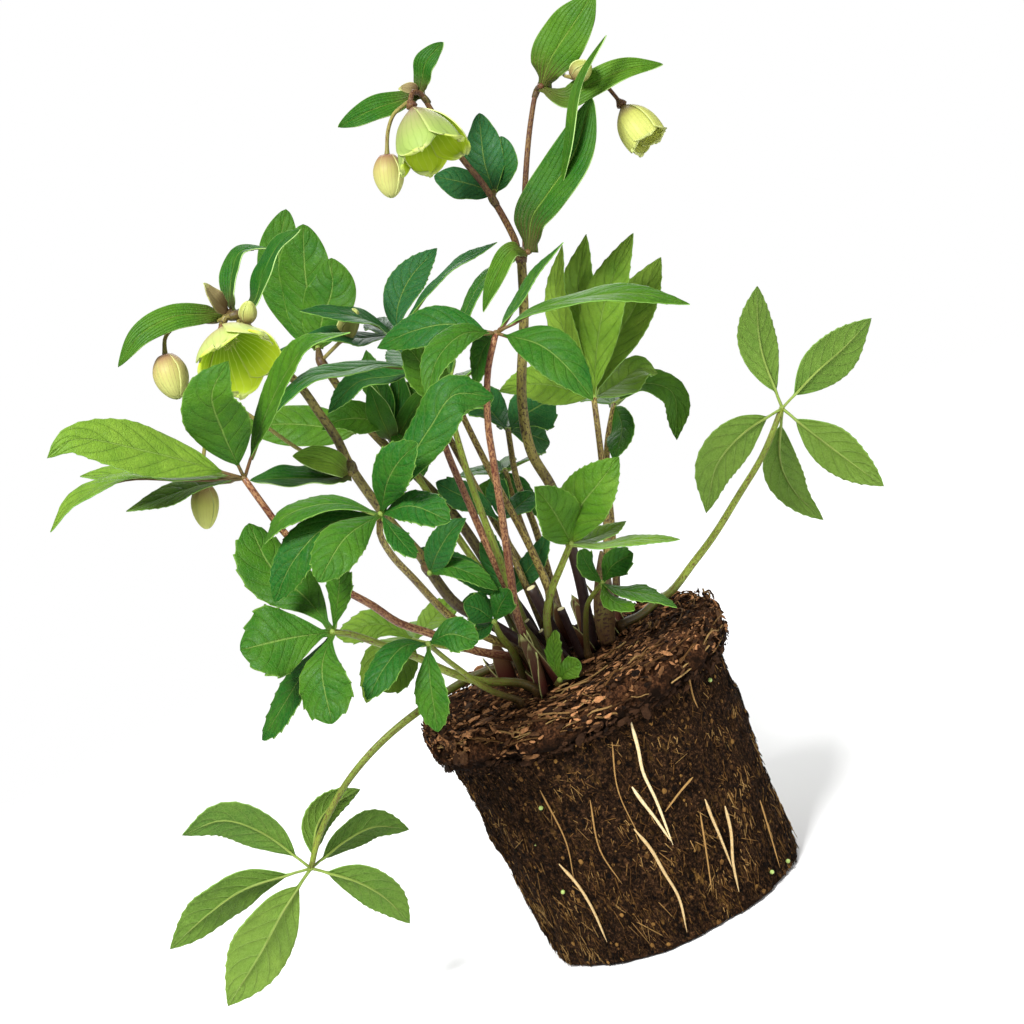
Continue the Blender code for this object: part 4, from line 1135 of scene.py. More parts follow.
def blade(hub, leaflet, top_shows, bare, tone, shape, sides, luck):
    """One leaflet: its blade with teeth, quilting and folds, and the rib beneath it."""
    rows = leaf_rows(hub, leaflet, top_shows, bare, shape, luck)
    tooth, spacing, (vein_count, slant), folds = SHAPES[shape][3:]
    widest = max(row[3] for row in rows)
    length = sum((b[0] - a[0]).length for a, b in zip(rows, rows[1:]))
    rows_per_tooth = max(4, round(spacing * MM / (length / LEAFLET_ROWS)))
    quilting = min(0.0003, widest * 0.03)
    fold = luck.uniform(*folds)
    droop = luck.uniform(0.05, 0.2)
    wave_count = luck.uniform(1.3, 2.4)
    wave_phase = luck.uniform(0, 6.28)
    wave_size = luck.uniform(0.06, 0.14)
    clasp = 1.2 if shape == "bract" else 0

    def place_of(column, row):
        place, along, up, half = rows[row]
        side = ACROSS[column]
        when = row / LEAFLET_ROWS
        across = along.cross(up)
        beyond = abs(side)
        grown = min(1, half / widest * 1.6)
        count = when * vein_count - slant * beyond * (0.6 + 0.4 * beyond) + (0.5 if side > 0 else 0)
        hump = 0.5 - 0.5 * math.cos(2 * math.pi * count)
        rise = fold * beyond * half - droop * side * side * half
        rise += quilting * grown * hump * (1 - 0.5 * beyond) * (beyond > 0.05)
        rise -= quilting * 0.5 * grown if side == 0 else 0
        rise -= clasp * half * side * side * max(0, 1 - when / 0.16)
        wave = math.sin(2 * math.pi * wave_count * when + wave_phase + (1.3 if side > 0 else 0))
        rise += wave_size * half * side * side * wave
        reach = half * side
        ahead = 0.0
        if beyond > 0.9:
            phase = (row + (2 if side > 0 else 0)) % rows_per_tooth / (rows_per_tooth - 1)
            sharp = tooth * MM * clamped((when - 0.28) * 4) * grown * (1 if beyond == 1 else 0.35)
            reach += math.copysign(sharp * (phase - 0.35), side)
            ahead = sharp * phase
        return place + across * reach + up * rise + along * ahead

    piece = bent_grid(len(ACROSS) - 1, LEAFLET_ROWS, place_of)
    last = len(ACROSS) - 1
    spread_map(piece, lambda u: (ACROSS[round(u * last)] + 1) / 2, lambda v: v)
    give_wall(piece, sides, BLADE_THICKNESS)
    bare_rows = round(bare * LEAFLET_ROWS)
    rib_rows = rows[0:LEAFLET_ROWS - 6:3]
    radii = [0.0008 * (1 - 0.8 * index / len(rib_rows)) for index in range(len(rib_rows))]
    places = []
    for index, (place, _, up, _) in enumerate(rib_rows):
        sunk = 0.0003 if index * 3 < bare_rows else radii[index] * 0.75 + BLADE_THICKNESS + 0.0001
        places.append(place - up * sunk)
    rib = tube(places, radii, 6, sides[3])
    for part in (piece, rib):
        store_tone(part, tone)
    return [piece, rib]


def store_tone(piece, tone):
    layer = piece.data.attributes.new("tone", "FLOAT", "POINT")
    layer.data.foreach_set("value", [tone] * len(piece.data.vertices))


def compound_leaf(hub, leaflets, top_shows, bare, tone, shape, sides, luck):
    """The parts of a palmate leaf: its leaflets, their ribs and a little knuckle where they meet."""
    parts = []
    for leaflet in leaflets:
        shade = clamped(tone + luck.uniform(-0.12, 0.12))
        look = sides
        if leaflet[3:] == ("brown",):
            look = (DRY_BRACT, DRY_BRACT, DRY_BRACT, RED_RIB)
        elif leaflet[3:]:
            shade = leaflet[3]
        parts += blade(hub, leaflet, top_shows, bare, shade, shape, look, luck)
    knuckle = small_ball(hub, 0.0014, 10, 8, sides[3])
    store_tone(knuckle, tone)
    return parts + [knuckle]


def petiole(foot, points, radius, surface):
    """A leaf stalk, flared at its foot and grooved."""
    places = rising_path(foot, points, 34)
    radii = [radius * (1.08 - 0.36 * share + 0.35 * max(0, 1 - share * 12)) for share in shares(34)]
    return tube(places, radii, 10, surface, lambda turn, row: 1 + 0.07 * math.cos(3 * turn))


def leaf_parts(name, leaf, seed):
    """The parts of a leaf's blade, and its stalk."""
    luck = random.Random(seed)
    points = spots(leaf["stalk"])
    sides = RED_LEAF_SIDES if name in RED_STALKED else LEAF_SIDES
    parts = compound_leaf(points[-1], leaf["leaflets"], leaf["top_shows"], leaf["bare"], leaf["tone"],
                          leaf["shape"], sides, luck)
    surface = STALKS["red_stalk" if name in RED_STALKED else leaf["stalk_look"]]
    return parts, petiole(leaf["foot"], points, leaf["radius"], surface)


def stalked_leaves():
    for number, (name, leaf) in enumerate(LEAVES.items()):
        leaf = {**USUAL_LEAF, **leaf}
        parts, stalk = leaf_parts(name, leaf, 40 + number)
        slot = "pale_leaf" if name in ("hanging", "right") else "leaf"
        settle(join("foliage_" + name, parts), slot, "leaf_blade_" + name)
        settle(join("petiole_" + name, [stalk]), leaf["stalk_look"], "leaf_stalk_" + name)


def inner_leaves():
    for number, (name, leaf) in enumerate(INNER_LEAVES.items()):
        parts, stalk = leaf_parts("inner_" + name, {**USUAL_LEAF, **leaf}, 60 + number)
        settle(join("inner_leaf_" + name, parts + [stalk]), "leaf")


def basal_leaves():
    for number, (name, leaf) in enumerate(BASAL_LEAVES.items()):
        parts, stalk = leaf_parts("basal_" + name, {**USUAL_BASAL, **leaf}, 80 + number)
        settle(join("base_leaf_" + name, parts + [stalk]), "basal_leaf", "basal_leaf_" + name)


def nearest_on(route, goal):
    """The place on a stem that is nearest to the goal, its direction and the stem's radius there."""
    places, radii = route
    spans = []
    for start, end, radius in zip(places, places[1:], radii):
        for share in (0.0, 0.25, 0.5, 0.75):
            spans.append((start.lerp(end, share), (end - start).normalized(), radius))
    return min(spans, key=lambda span: (span[0] - goal).length)


def bract_groups(routes):
    for number, (name, (stem, tone, shape, node_point, leaflets)) in enumerate(BRACTS.items()):
        luck = random.Random(120 + number)
        hub = spot(*node_point)
        sides = BRACT_SIDES if shape == "bract" else LEAF_SIDES
        parts = compound_leaf(hub, leaflets, True, 0.0, tone, shape, sides, luck)
        place, along, radius = nearest_on(routes[stem], hub)
        low = place - along * 0.004
        line = smooth_path([low, place, hub], 9)
        radii = [radius * wide for wide in (1.15, 1.3, 1.35, 1.3, 1.2, 1)] + [0.0016, 0.0014, 0.0012]
        parts.append(tube(line, radii, 12, SHEATH))
        settle(join("bract_leaves_" + name, parts), "bract", "bracts_" + name)


# Stems, flowers and buds

def stems():
    """Makes the stems, and gives the places and radii along each."""
    routes = {}
    for name, (foot, thick, thin, look, line) in STEMS.items():
        points = spots(line)
        count = 60 if foot else 40
        places = rising_path(foot, points, count) if foot else smooth_path(points, count)
        plain_radii = [(thick + (thin - thick) * share) * MM for share in shares(count)]
        flare = 0.5 if foot else 0
        radii = [radius * (1 + flare * max(0, 1 - share * 10))
                 for radius, share in zip(plain_radii, shares(count))]
        stalk = tube(places, radii, 14, STALKS[look], lambda turn, row: 1 + 0.035 * math.cos(5 * turn))
        settle(join("flower_stem_" + name, [stalk]), look, "stem_" + name)
        routes[name] = (places, plain_radii)
    return routes


def cup_place(route, toward):
    """The middle of a flower's base, the way that it opens, and two directions across it."""
    places, _ = route
    axis = (spot(*toward) - places[-1]).normalized()
    east = axis.cross(Vector((0, 0, 1))).normalized()
    return places[-1], axis, east, axis.cross(east)


def sepal(cup, turn, depth, mouth, openness, luck, sides, closed=False):
    """One of five overlapping sepals of a cup, or of a closed bud."""
    base, axis, east, north = cup
    columns, rows = (20, 26)
    phase = luck.uniform(0, 6.28)
    ruffle = 0 if closed else 0.0001 + 0.0006 * openness
    lift = luck.uniform(-0.03, 0.03)

    def place_of(column, row):
        when = 1 - (1 - row / rows) ** 1.35
        side = column / columns * 2 - 1
        if closed:
            radius = mouth * math.sin(math.pi * min(1, 0.06 + 0.94 * when) ** 0.88) ** 0.58 + 0.0003
            reach = depth * when
        else:
            radius = mouth * (1 - (1 - when) ** 2.1) ** 0.8
            radius *= 1 - (1 - openness) * 0.45 * when
            radius += mouth * 0.04 * openness * when ** 4
            radius = max(radius, 0.0012)
            reach = depth * when * (1 + lift)
        shape = math.sin(math.pi * (0.1 + 0.9 * when) ** 0.95) ** 0.36
        half = mouth * (0.15 + 0.85 * shape) if when < 0.5 else mouth * shape
        spread = min(half / max(radius, 0.001), 1.0 if closed else 0.84)
        swing = turn + side * spread
        overlap = 0.00045 if closed else 0.0006 + 0.0004 * openness
        radius += overlap * side * min(1, when * 3) + ruffle * when ** 3 * math.sin(side * 7 + phase)
        reach += ruffle * when ** 4 * math.sin(side * 12 + phase * 2) - mouth * 0.05 * side * side * when
        return base + axis * reach + swung(east, north, swing) * radius

    piece = bent_grid(columns, rows, place_of)
    give_wall(piece, sides, SEPAL_THICKNESS)
    return piece


def flowers(routes):
    for number, (name, (stem, toward, depth, mouth, openness)) in enumerate(FLOWERS.items()):
        luck = random.Random(200 + number)
        cup = cup_place(routes[stem], toward)
        base, axis, east, north = cup
        parts = [receptacle(base, axis)]
        cup = (base + axis * RECEPTACLE_LENGTH, axis, east, north)
        for index in range(5):
            turn = 2 * math.pi * index / 5 + luck.uniform(-0.06, 0.06)
            parts.append(sepal(cup, turn, depth * MM, mouth * MM, openness, luck, SEPAL_SIDES[name]))
        settle(join("sepals_" + name, parts), "sepal", "flower_cup_" + name)
        flower_tuft(name, cup, luck)


def receptacle(base, axis):
    """The thick end of the stalk that a flower's sepals grow from."""
    places = [base + axis * (RECEPTACLE_LENGTH * share - 0.001) for share in (0, 0.4, 0.8, 1.2, 1.5)]
    return tube(places, [0.0011, 0.0016, 0.0023, 0.0026, 0.0016], 14, STALKS["flower_stalk"])


def flower_tuft(name, cup, luck):
    """The nectaries, stamens and styles in the middle of a flower."""
    base, axis, east, north = cup
    start = base + axis * 0.0008
    filament = tube([Vector((0, reach, 0)) for reach in (0, 0.004, 0.0078)], [0.00016] * 3, 5, STAMEN)
    anther = tube([Vector((0, reach, 0)) for reach in (0.0076, 0.0082, 0.009, 0.0096)],
                  [0.0002, 0.00055, 0.0005, 0.0001], 6, STAMEN)
    stamen = join("stamen_model", [filament, anther])
    places = []
    tones = []
    for index in range(STAMENS):
        turn = index * GOLDEN_ANGLE
        spread = math.sqrt(index / STAMENS)
        lean = 0.12 + 0.3 * spread
        out = swung(east, north, turn)
        along = (axis + out * lean).normalized()
        size = luck.uniform(0.75, 1.05)
        places.append(aimed(start + out * 0.0016 * spread, along, out.cross(along), (0.7, size * 0.8, 0.7)))
        tones.append(luck.uniform(0.2, 0.6))
    stamens = strew("stamens", stamen, places, STAMEN, tones)
    horn = tube([Vector((0, 0, 0)), Vector((0, 0.0013, 0.0001)), Vector((0, 0.0026, 0.0003)),
                 Vector((0, 0.0036, 0.0007))], [0.0003, 0.0006, 0.0008, 0.0009], 8, STAMEN)
    places = []
    tones = []
    for index in range(NECTARIES):
        turn = 2 * math.pi * index / NECTARIES
        out = swung(east, north, turn)
        along = (axis + out * 0.5).normalized()
        places.append(aimed(start + out * 0.0014, along, out.cross(axis), (1, 1, 1)))
        tones.append(luck.uniform(0.0, 0.25))
    horns = strew("nectaries", horn, places, STAMEN, tones)
    style = tube([Vector((0, 0, 0)), Vector((0, 0.006, 0)), Vector((0, 0.0105, 0.0008))],
                 [0.0008, 0.0004, 0.0002], 6, STAMEN)
    places = []
    for index in range(4):
        out = swung(east, north, index * 1.57)
        along = (axis + out * 0.06).normalized()
        places.append(aimed(start + out * 0.0007, along, out.cross(axis), (1, 1, 1)))
    styles = strew("styles", style, places, STAMEN, [0.35] * 4)
    settle(join("flower_tuft_" + name, [stamens, horns, styles]), "stamen", "flower_centre_" + name)


def closed_bud(routes, stem, radius, pedicel, tip, surface, seed):
    """The parts of a bud: its pedicel and its overlapping closed sepals."""
    luck = random.Random(seed)
    points = spots(pedicel)
    line = smooth_path([nearest_on(routes[stem], points[0])[0], *points], 24)
    tip = spot(*tip)
    radii = [PEDICEL_RADIUS] * 20 + [PEDICEL_RADIUS * wide for wide in (1.05, 1.15, 1.35, 1.6)]
    parts = [tube(line, radii, 8, STALKS["pedicel"])]
    axis = (tip - line[-1]).normalized()
    east = axis.cross(Vector((0, 1, 0.2))).normalized()
    cup = (line[-1] - axis * 0.0004, axis, east, axis.cross(east))
    for index in range(5):
        parts.append(sepal(cup, 2 * math.pi * index / 5, (tip - line[-1]).length, radius * MM, 0, luck,
                           (surface, surface, SEPAL_EDGE), closed=True))
    return parts


def buds(routes):
    for number, (name, bud) in enumerate(BUDS.items()):
        parts = closed_bud(routes, *bud, SEPAL_CREAM if name == "low" else BUD, 260 + number)
        settle(join("closed_bud_" + name, parts), "bud", "bud_" + name)
    for number, bud in enumerate(SMALL_BUDS):
        parts = closed_bud(routes, *bud, SMALL_BUD, 280 + number)
        settle(join("small_bud_%d" % (number + 1), parts), "bud")


def cut_stubs():
    """The pale-ended stubs of old stalks in the crown."""
    parts = []
    for foot, top, thick in CUT_STUBS:
        end = spot(*top)
        places = smooth_path([foot_place(foot), foot_place(foot, 0.003), end], 12)
        parts.append(tube(places, [thick * MM] * 12, 12, STALKS["stem"]))
        along = (places[-1] - places[-2]).normalized()
        parts.append(tube([end - along * 0.0003, end + along * 0.0003, end + along * 0.0005],
                          [thick * MM * 0.9, thick * MM * 0.85, thick * MM * 0.5], 12, PALE_END))
    settle(join("old_stubs", parts), "stem")


def crown_sheaths():
    """The pointed brown scales that clasp the feet of the stems and stalks."""
    luck = random.Random(90)

    def place_of(column, row):
        share = row / 10
        turn = (column / 8 - 0.5) * 2.6 * (1 - share ** 1.8)
        flare = 0.25 + 0.12 * share
        return Vector((flare * math.sin(turn), share, flare * math.cos(turn) - 0.1 * share * share))

    model = bent_grid(8, 10, place_of)
    wall = model.modifiers.new("Wall", "SOLIDIFY")
    wall.thickness = 0.03
    bpy.ops.object.modifier_apply(modifier="Wall")
    feet = [stem[0] for stem in STEMS.values() if stem[0]]
    feet += [leaf["foot"] for leaf in LEAVES.values()]
    places = []
    for foot in feet:
        for _ in range(2):
            turn = luck.uniform(0, 2 * math.pi)
            out = level(turn)
            along = (Vector((0, 0, 1)) + out * 0.12).normalized()
            width = luck.uniform(0.012, 0.018)
            sizes = (width, luck.uniform(0.012, 0.03), width)
            places.append(aimed(foot_place(foot, -0.001), along, out, sizes))
    form = bmesh.new()
    for place in places:
        scale = model.data.copy()
        scale.transform(place)
        form.from_mesh(scale)
        bpy.data.meshes.remove(scale)
    form.to_mesh(model.data)
    form.free()
    model.data.materials.append(SCALE)
    settle(join("crown_scales", [model]), "sheath")


def young_shoot():
    """The closed shoot in the crown: a pointed spindle in overlapping sheaths."""
    rise = foot_place(SHOOT_FOOT, 0.003)
    tip = spot(*SHOOT_TIP)
    places = smooth_path([foot_place(SHOOT_FOOT), rise, tip], 24)
    radii = [0.0006 + 0.0042 * math.sin(math.pi * min(1, 0.2 + share * 0.8)) ** 0.8 for share in shares(24)]
    shoot = tube(places, radii, 16, SHEATH, lambda turn, row: 1 + 0.08 * math.sin(turn + row * 0.12) ** 3)
    settle(join("shoot", [shoot]), "sheath", "young_shoot")


# Root ball and mat

def rough(place, scale, size):
    return noise.noise(place * scale) * size


def rolled(profile, columns, roughness_of, surface, name):
    """A closed round body from a profile of (radius, height) places, with its surface made rough."""
    rows = len(profile) - 1

    def place_of(column, row):
        radius, height = profile[row]
        turn = 2 * math.pi * column / columns
        out = level(turn)
        place = out * radius + Vector((0, 0, height))
        return roughness_of(place, out, row / rows)

    piece = bent_grid(columns, rows, place_of)
    close_up(piece, 1e-5)
    piece.data.materials.append(surface)
    bpy.ops.object.shade_smooth()
    return join(name, [piece])


def root_ball():
    profile = [(BALL_BASE_RADIUS * share, 0.0) for share in (0.0, 0.2, 0.4, 0.6, 0.75, 0.87, 0.95)]
    profile.append((BALL_BASE_RADIUS - 0.001, 0.0006))
    profile += [(ball_radius(height), height) for height in np.linspace(0.0015, BALL_HEIGHT - 0.001, 96)]
    profile += [(BALL_TOP_RADIUS * share, BALL_HEIGHT) for share in (0.97, 0.8, 0.5, 0.2, 0.0)]

    def roughened(place, out, _):
        if place.z > BALL_HEIGHT - 0.0005 or place.xy.length < 0.01:
            return place
        size = rough(place, 38, 0.0022) + rough(place, 120, 0.0012) + rough(place, 380, 0.0007)
        size -= 0.0009
        return place + out * size

    ball = rolled(profile, 300, roughened, PEAT, "peat_ball")
    settle(ball, "peat", "root_ball")


def on_wall(turn, height, outward):
    """A place on the ball's side, and the direction out of it."""
    out = level(turn)
    place = out * ball_radius(height) + Vector((0, 0, height))
    size = rough(place, 38, 0.0022) + rough(place, 120, 0.0012) - 0.0009
    return place + out * (size + outward), out


def sliver_model(bends):
    """A thin root fibre 1 m long, before it is scaled, bent a little."""
    places = [Vector((bend, index / (len(bends) - 1) - 0.5, 0)) for index, bend in enumerate(bends)]
    return tube(places, [0.5] * len(places), 3, ROOTLET)


def rootlets():
    """The felt of fine fibres on the ball's side, most of them running down."""
    luck = random.Random(7)
    pieces = []
    for number, bends in enumerate(((0, 0.05, 0), (0, -0.06, 0.03, 0.08), (0.05, 0, -0.04, 0.02))):
        model = sliver_model(bends)
        places = []
        tones = []
        for _ in range(FIBRES_OF_EACH_KIND):
            turn = luck.uniform(0, 2 * math.pi)
            height = 0.002 + (BALL_HEIGHT - 0.006) * luck.random() ** 1.05
            low = 1 - height / BALL_HEIGHT
            lean = luck.gauss(0, 0.75 - 0.45 * low)
            length = min(0.0015 + (0.004 + 0.008 * low) * luck.random() ** 2, height * 1.6)
            place, out = on_wall(turn, height, luck.uniform(-0.0002, 0.0005))
            side = Vector((-out.y, out.x, 0))
            along = Vector((0, 0, 1)) * math.cos(lean) + side * math.sin(lean)
            along = (along + out * luck.uniform(-0.12, 0.12)).normalized()
            thick = luck.uniform(0.0002, 0.0005)
            places.append(aimed(place, along, out, (thick, length, thick)))
            patch = noise.noise(place * 85) * 0.8
            tones.append(clamped(luck.gauss(0.27 + 0.12 * low + patch, 0.24)))
        pieces.append(strew("rootlets_%d" % number, model, places, ROOTLET, tones))
    settle(join("root_felt", pieces), "pale_root")


def side_roots():
    for name, (line, thick) in SIDE_ROOTS.items():
        root = pale_root(line, thick, 300)
        settle(join("thick_root_" + name, [root]), "pale_root", "side_root_" + name)
    luck = random.Random(11)
    parts = [pale_root(line, thick, 330 + number) for number, (line, thick) in enumerate(THIN_ROOTS)]
    for _ in range(BACK_ROOTS):
        turn = luck.uniform(0.2, 2.94)
        height = luck.uniform(0.03, BALL_HEIGHT - 0.01)
        places = []
        drift = luck.uniform(-0.12, 0.12)
        for step in range(5):
            place, _ = on_wall(turn + drift * step / 4 + luck.uniform(-0.02, 0.02), height, 0.0004)
            places.append(place)
            height = max(0.003, height - luck.uniform(0.006, 0.013))
        thick = luck.uniform(0.25, 0.9) * MM
        root = tube(smooth_path(places, 18), [thick * (1 - 0.045 * step) for step in range(18)], 6, PALE_ROOT)
        store_tone(root, luck.uniform(0.15, 0.6))
        parts.append(root)
    settle(join("thin_roots", parts), "pale_root")


def pale_root(line, thick, seed):
    """A root on the ball's side along picture points, wrinkled and tapered."""
    luck = random.Random(seed)
    places = smooth_path([on_ball_side(x, y, 0.0009) for x, y in line], 30)
    radii = []
    for index in range(30):
        taper = (1 - 0.4 * index / 29) * min(1, 0.3 + index / 5, 0.25 + (29 - index) / 6)
        radii.append(thick * MM * taper * luck.uniform(0.92, 1.06))
    root = tube(places, radii, 10, PALE_ROOT)
    store_tone(root, 0.84 if thick > 0.83 else 0.66 if thick > 0.6 else 0.4)
    return root


def mat():
    """The crumbly mat over the ball, with its thick uneven lip."""
    low = BALL_HEIGHT + GAP
    profile = [(BALL_TOP_RADIUS * share, low + 0.0004) for share in (0.0, 0.3, 0.6, 0.85)]
    for share in shares(22):
        turn = math.pi * (share - 0.5)
        wide = MAT_RADIUS - 0.0066 + 0.0066 * max(0.0, math.cos(turn)) ** 0.55
        high = low + MAT_THICKNESS / 2 * (1 + math.copysign(abs(math.sin(turn)) ** 0.7, turn))
        profile.append((wide, high))
    profile += [(MAT_RADIUS * share, SOIL_TOP) for share in np.linspace(0.88, 0.0, 30)]

    def roughened(place, out, _):
        rim = clamped((place.xy.length - 0.045) / 0.02)
        size = rough(place, 70, 0.0046) + rough(place, 190, 0.003) + rough(place, 520, 0.0014)
        lift = rough(place + Vector((3, 0, 0)), 55, 0.003) + rough(place, 260, 0.002)
        middle = 1 - min(1, place.xy.length / 0.02)
        upward = 1 if place.z > low + MAT_THICKNESS * 0.6 else 0.25
        place = place + out * min(0.0022, size - 0.0006) * rim
        place.z = max(low, min(SOIL_TOP + 0.003, place.z + (lift - 0.0012 - 0.0025 * middle) * upward))
        return place

    settle(rolled(profile, 320, roughened, BARK, "bark_top"), "bark_mat", "top_dressing")


def crumb_model(seed, flat):
    """A crumb of bark: a small block, its corners moved at random."""
    clear_selection()
    bpy.ops.mesh.primitive_ico_sphere_add(subdivisions=1, radius=0.5)
    crumb = bpy.context.object
    luck = random.Random(seed)
    for vert in crumb.data.vertices:
        vert.co = vert.co * luck.uniform(0.7, 1.25)
        vert.co.z *= flat
    return crumb


def crumbs_and_chips():
    """Bits of bark and peat on the mat: crumbs all over, flat chips and long straws round its edge."""
    luck = random.Random(21)
    parts = []
    for seed, flat, amount, slim, small, large in ((1, 0.7, 1200, 0.7, 0.001, 0.0036),
                                                   (2, 0.3, 700, 0.6, 0.003, 0.0085),
                                                   (3, 0.6, 3400, 0.26, 0.002, 0.0075)):
        model = crumb_model(seed, flat)
        places = []
        tones = []
        for _ in range(amount):
            turn = luck.uniform(0, 2 * math.pi)
            out = level(turn)
            if luck.random() < 0.55:
                height = luck.uniform(BALL_HEIGHT - 0.003, SOIL_TOP)
                tuck = 0.003 * max(0, (BALL_HEIGHT + 0.003 - height) / 0.006)
                place = out * (MAT_RADIUS + luck.uniform(-0.0026, 0.0008) - tuck) + Vector((0, 0, height))
                up = (out + Vector((0, 0, luck.uniform(-0.3, 0.6)))).normalized()
            else:
                radius = MAT_RADIUS * math.sqrt(luck.uniform(0.05, 0.97))
                place = out * radius + Vector((0, 0, SOIL_TOP + luck.uniform(-0.0015, 0.001)))
                up = Vector((luck.uniform(-0.4, 0.4), luck.uniform(-0.4, 0.4), 1)).normalized()
            along = Vector((-out.y, out.x, 0)) * luck.choice((-1, 1))
            along += Vector((luck.gauss(0, 0.5), luck.gauss(0, 0.5), luck.gauss(0, 0.35)))
            along = square_to(up, along)
            size = small + (large - small) * luck.random() ** 2
            wide = size * slim * luck.uniform(0.6, 1.3)
            places.append(aimed(place, along, up, (wide, size, min(wide, size * 0.8))))
            peaty = min(1, max(0.4, (place.z + rough(place, 60, 0.014) - SOIL_TOP + 0.0165) / 0.005))
            tones.append(luck.random() ** 0.95 * peaty)
        parts.append(strew("crumbs_%d" % seed, model, places, CRUMB, tones))
    settle(join("bark_crumbs", parts), "bark_mat")


def straws():
    """Long dead fibres that lie round the mat, some of them hanging over its edge."""
    luck = random.Random(33)
    parts = []
    for _ in range(STRAWS):
        turn = luck.uniform(0, 2 * math.pi)
        edge = luck.random() < 0.6
        radius = MAT_RADIUS + luck.uniform(-0.002, 0.0006) if edge else luck.uniform(0.03, MAT_RADIUS)
        height = luck.uniform(BALL_HEIGHT + 0.002, SOIL_TOP) if edge else SOIL_TOP + 0.0008
        places = []
        sweep = luck.uniform(0.1, 0.55) * luck.choice((-1, 1))
        climb = luck.uniform(-0.006, 0.006) if edge else 0
        for step in range(5):
            share = step / 4
            wobble = luck.uniform(-0.0012, 0.0012)
            rise = min(SOIL_TOP + 0.003, height + climb * share + wobble)
            places.append(level(turn + sweep * share) * (radius + wobble) + Vector((0, 0, rise)))
        thick = luck.uniform(0.18, 0.5) * MM
        straw = tube(smooth_path(places, 14), [thick] * 14, 5, STRAW)
        store_tone(straw, luck.random())
        parts.append(straw)
    settle(join("straws", parts), "bark_mat")


def wall_crumbs():
    """Crumbs of peat that stand out of the ball's side."""
    luck = random.Random(57)
    model = crumb_model(5, 0.6)
    places = []
    tones = []
    for _ in range(WALL_CRUMBS):
        turn = luck.uniform(0, 2 * math.pi)
        height = luck.uniform(0.0015, BALL_HEIGHT - 0.001)
        place, out = on_wall(turn, height, luck.uniform(-0.0006, 0.0003))
        along = square_to(out, Vector((luck.uniform(-0.5, 0.5), luck.uniform(-0.5, 0.5), 1)))
        size = 0.0008 + 0.0022 * luck.random() ** 2
        places.append(aimed(place, along, out, (size * luck.uniform(0.5, 0.9), size, size * 0.8)))
        tones.append(min(1, luck.random() ** 1.6))
    crumbs = strew("peat_crumbs", model, places, PEAT_CRUMB, tones)
    settle(crumbs, "peat")


def beads():
    """Small round beads of slow fertiliser in the peat."""
    parts = [small_ball(on_ball_side(x, y, 0.0003), 0.001, 16, 10, BEAD) for x, y in BEADS]
    settle(join("fertiliser_beads", parts), "peat")


# Stage

def studio():
    """A pale floor that fades into a white room, soft lights, and the camera at the picture's angle."""
    clear_selection()
    bpy.ops.mesh.primitive_circle_add(vertices=96, radius=1.6, fill_type="TRIFAN", location=(0, 0, -0.0001))
    floor = bpy.context.object
    floor.name = "floor"
    surface, tree, shader = new_material("floor", 0.9, 0.2)
    shader.inputs["Base Color"].default_value = (0.92, 0.92, 0.92, 1)
    place = node(tree, "ShaderNodeTexCoord").outputs["Object"]
    distance = node(tree, "ShaderNodeVectorMath", {0: place}, operation="LENGTH").outputs["Value"]
    fade = smooth_step(tree, distance, 0.3, 1.1)
    clear = node(tree, "ShaderNodeBsdfTransparent")
    both = node(tree, "ShaderNodeMixShader", {0: fade, 1: shader.outputs[0], 2: clear.outputs[0]})
    tree.links.new(both.outputs[0], tree.nodes["Material Output"].inputs["Surface"])
    floor.data.materials.append(surface)
    world = bpy.data.worlds.new("white_room")
    bpy.context.scene.world = world
    world.use_nodes = True
    tree = world.node_tree
    background = tree.nodes["Background"]
    seen = node(tree, "ShaderNodeLightPath").outputs["Is Camera Ray"]
    tree.links.new(plus(tree, 0.42, times(tree, seen, 0.58)), background.inputs["Strength"])
    background.inputs["Color"].default_value = (1, 1, 1, 1)
    for name, place, size, power in LAMPS:
        lamp = bpy.data.lights.new(name, "AREA")
        lamp.energy = power
        lamp.size = size
        light = bpy.data.objects.new(name, lamp)
        light.location = place
        light.rotation_euler = (Vector((0, 0, 0.18)) - Vector(place)).to_track_quat("-Z", "Y").to_euler()
        bpy.context.scene.collection.objects.link(light)
    data = bpy.data.cameras.new("camera")
    data.sensor_width = SENSOR_WIDTH
    data.lens = SENSOR_WIDTH * VIEW_DISTANCE / (PICTURE_WIDTH * METRES_PER_PIXEL)
    camera = bpy.data.objects.new("camera", data)
    turned = Matrix((PICTURE_RIGHT, PICTURE_UP, -FORWARD)).transposed().to_4x4()
    camera.matrix_world = Matrix.Translation(EYE) @ turned
    bpy.context.scene.collection.objects.link(camera)
    bpy.context.scene.camera = camera
    bpy.context.scene.view_settings.view_transform = "Standard"


clear_selection()

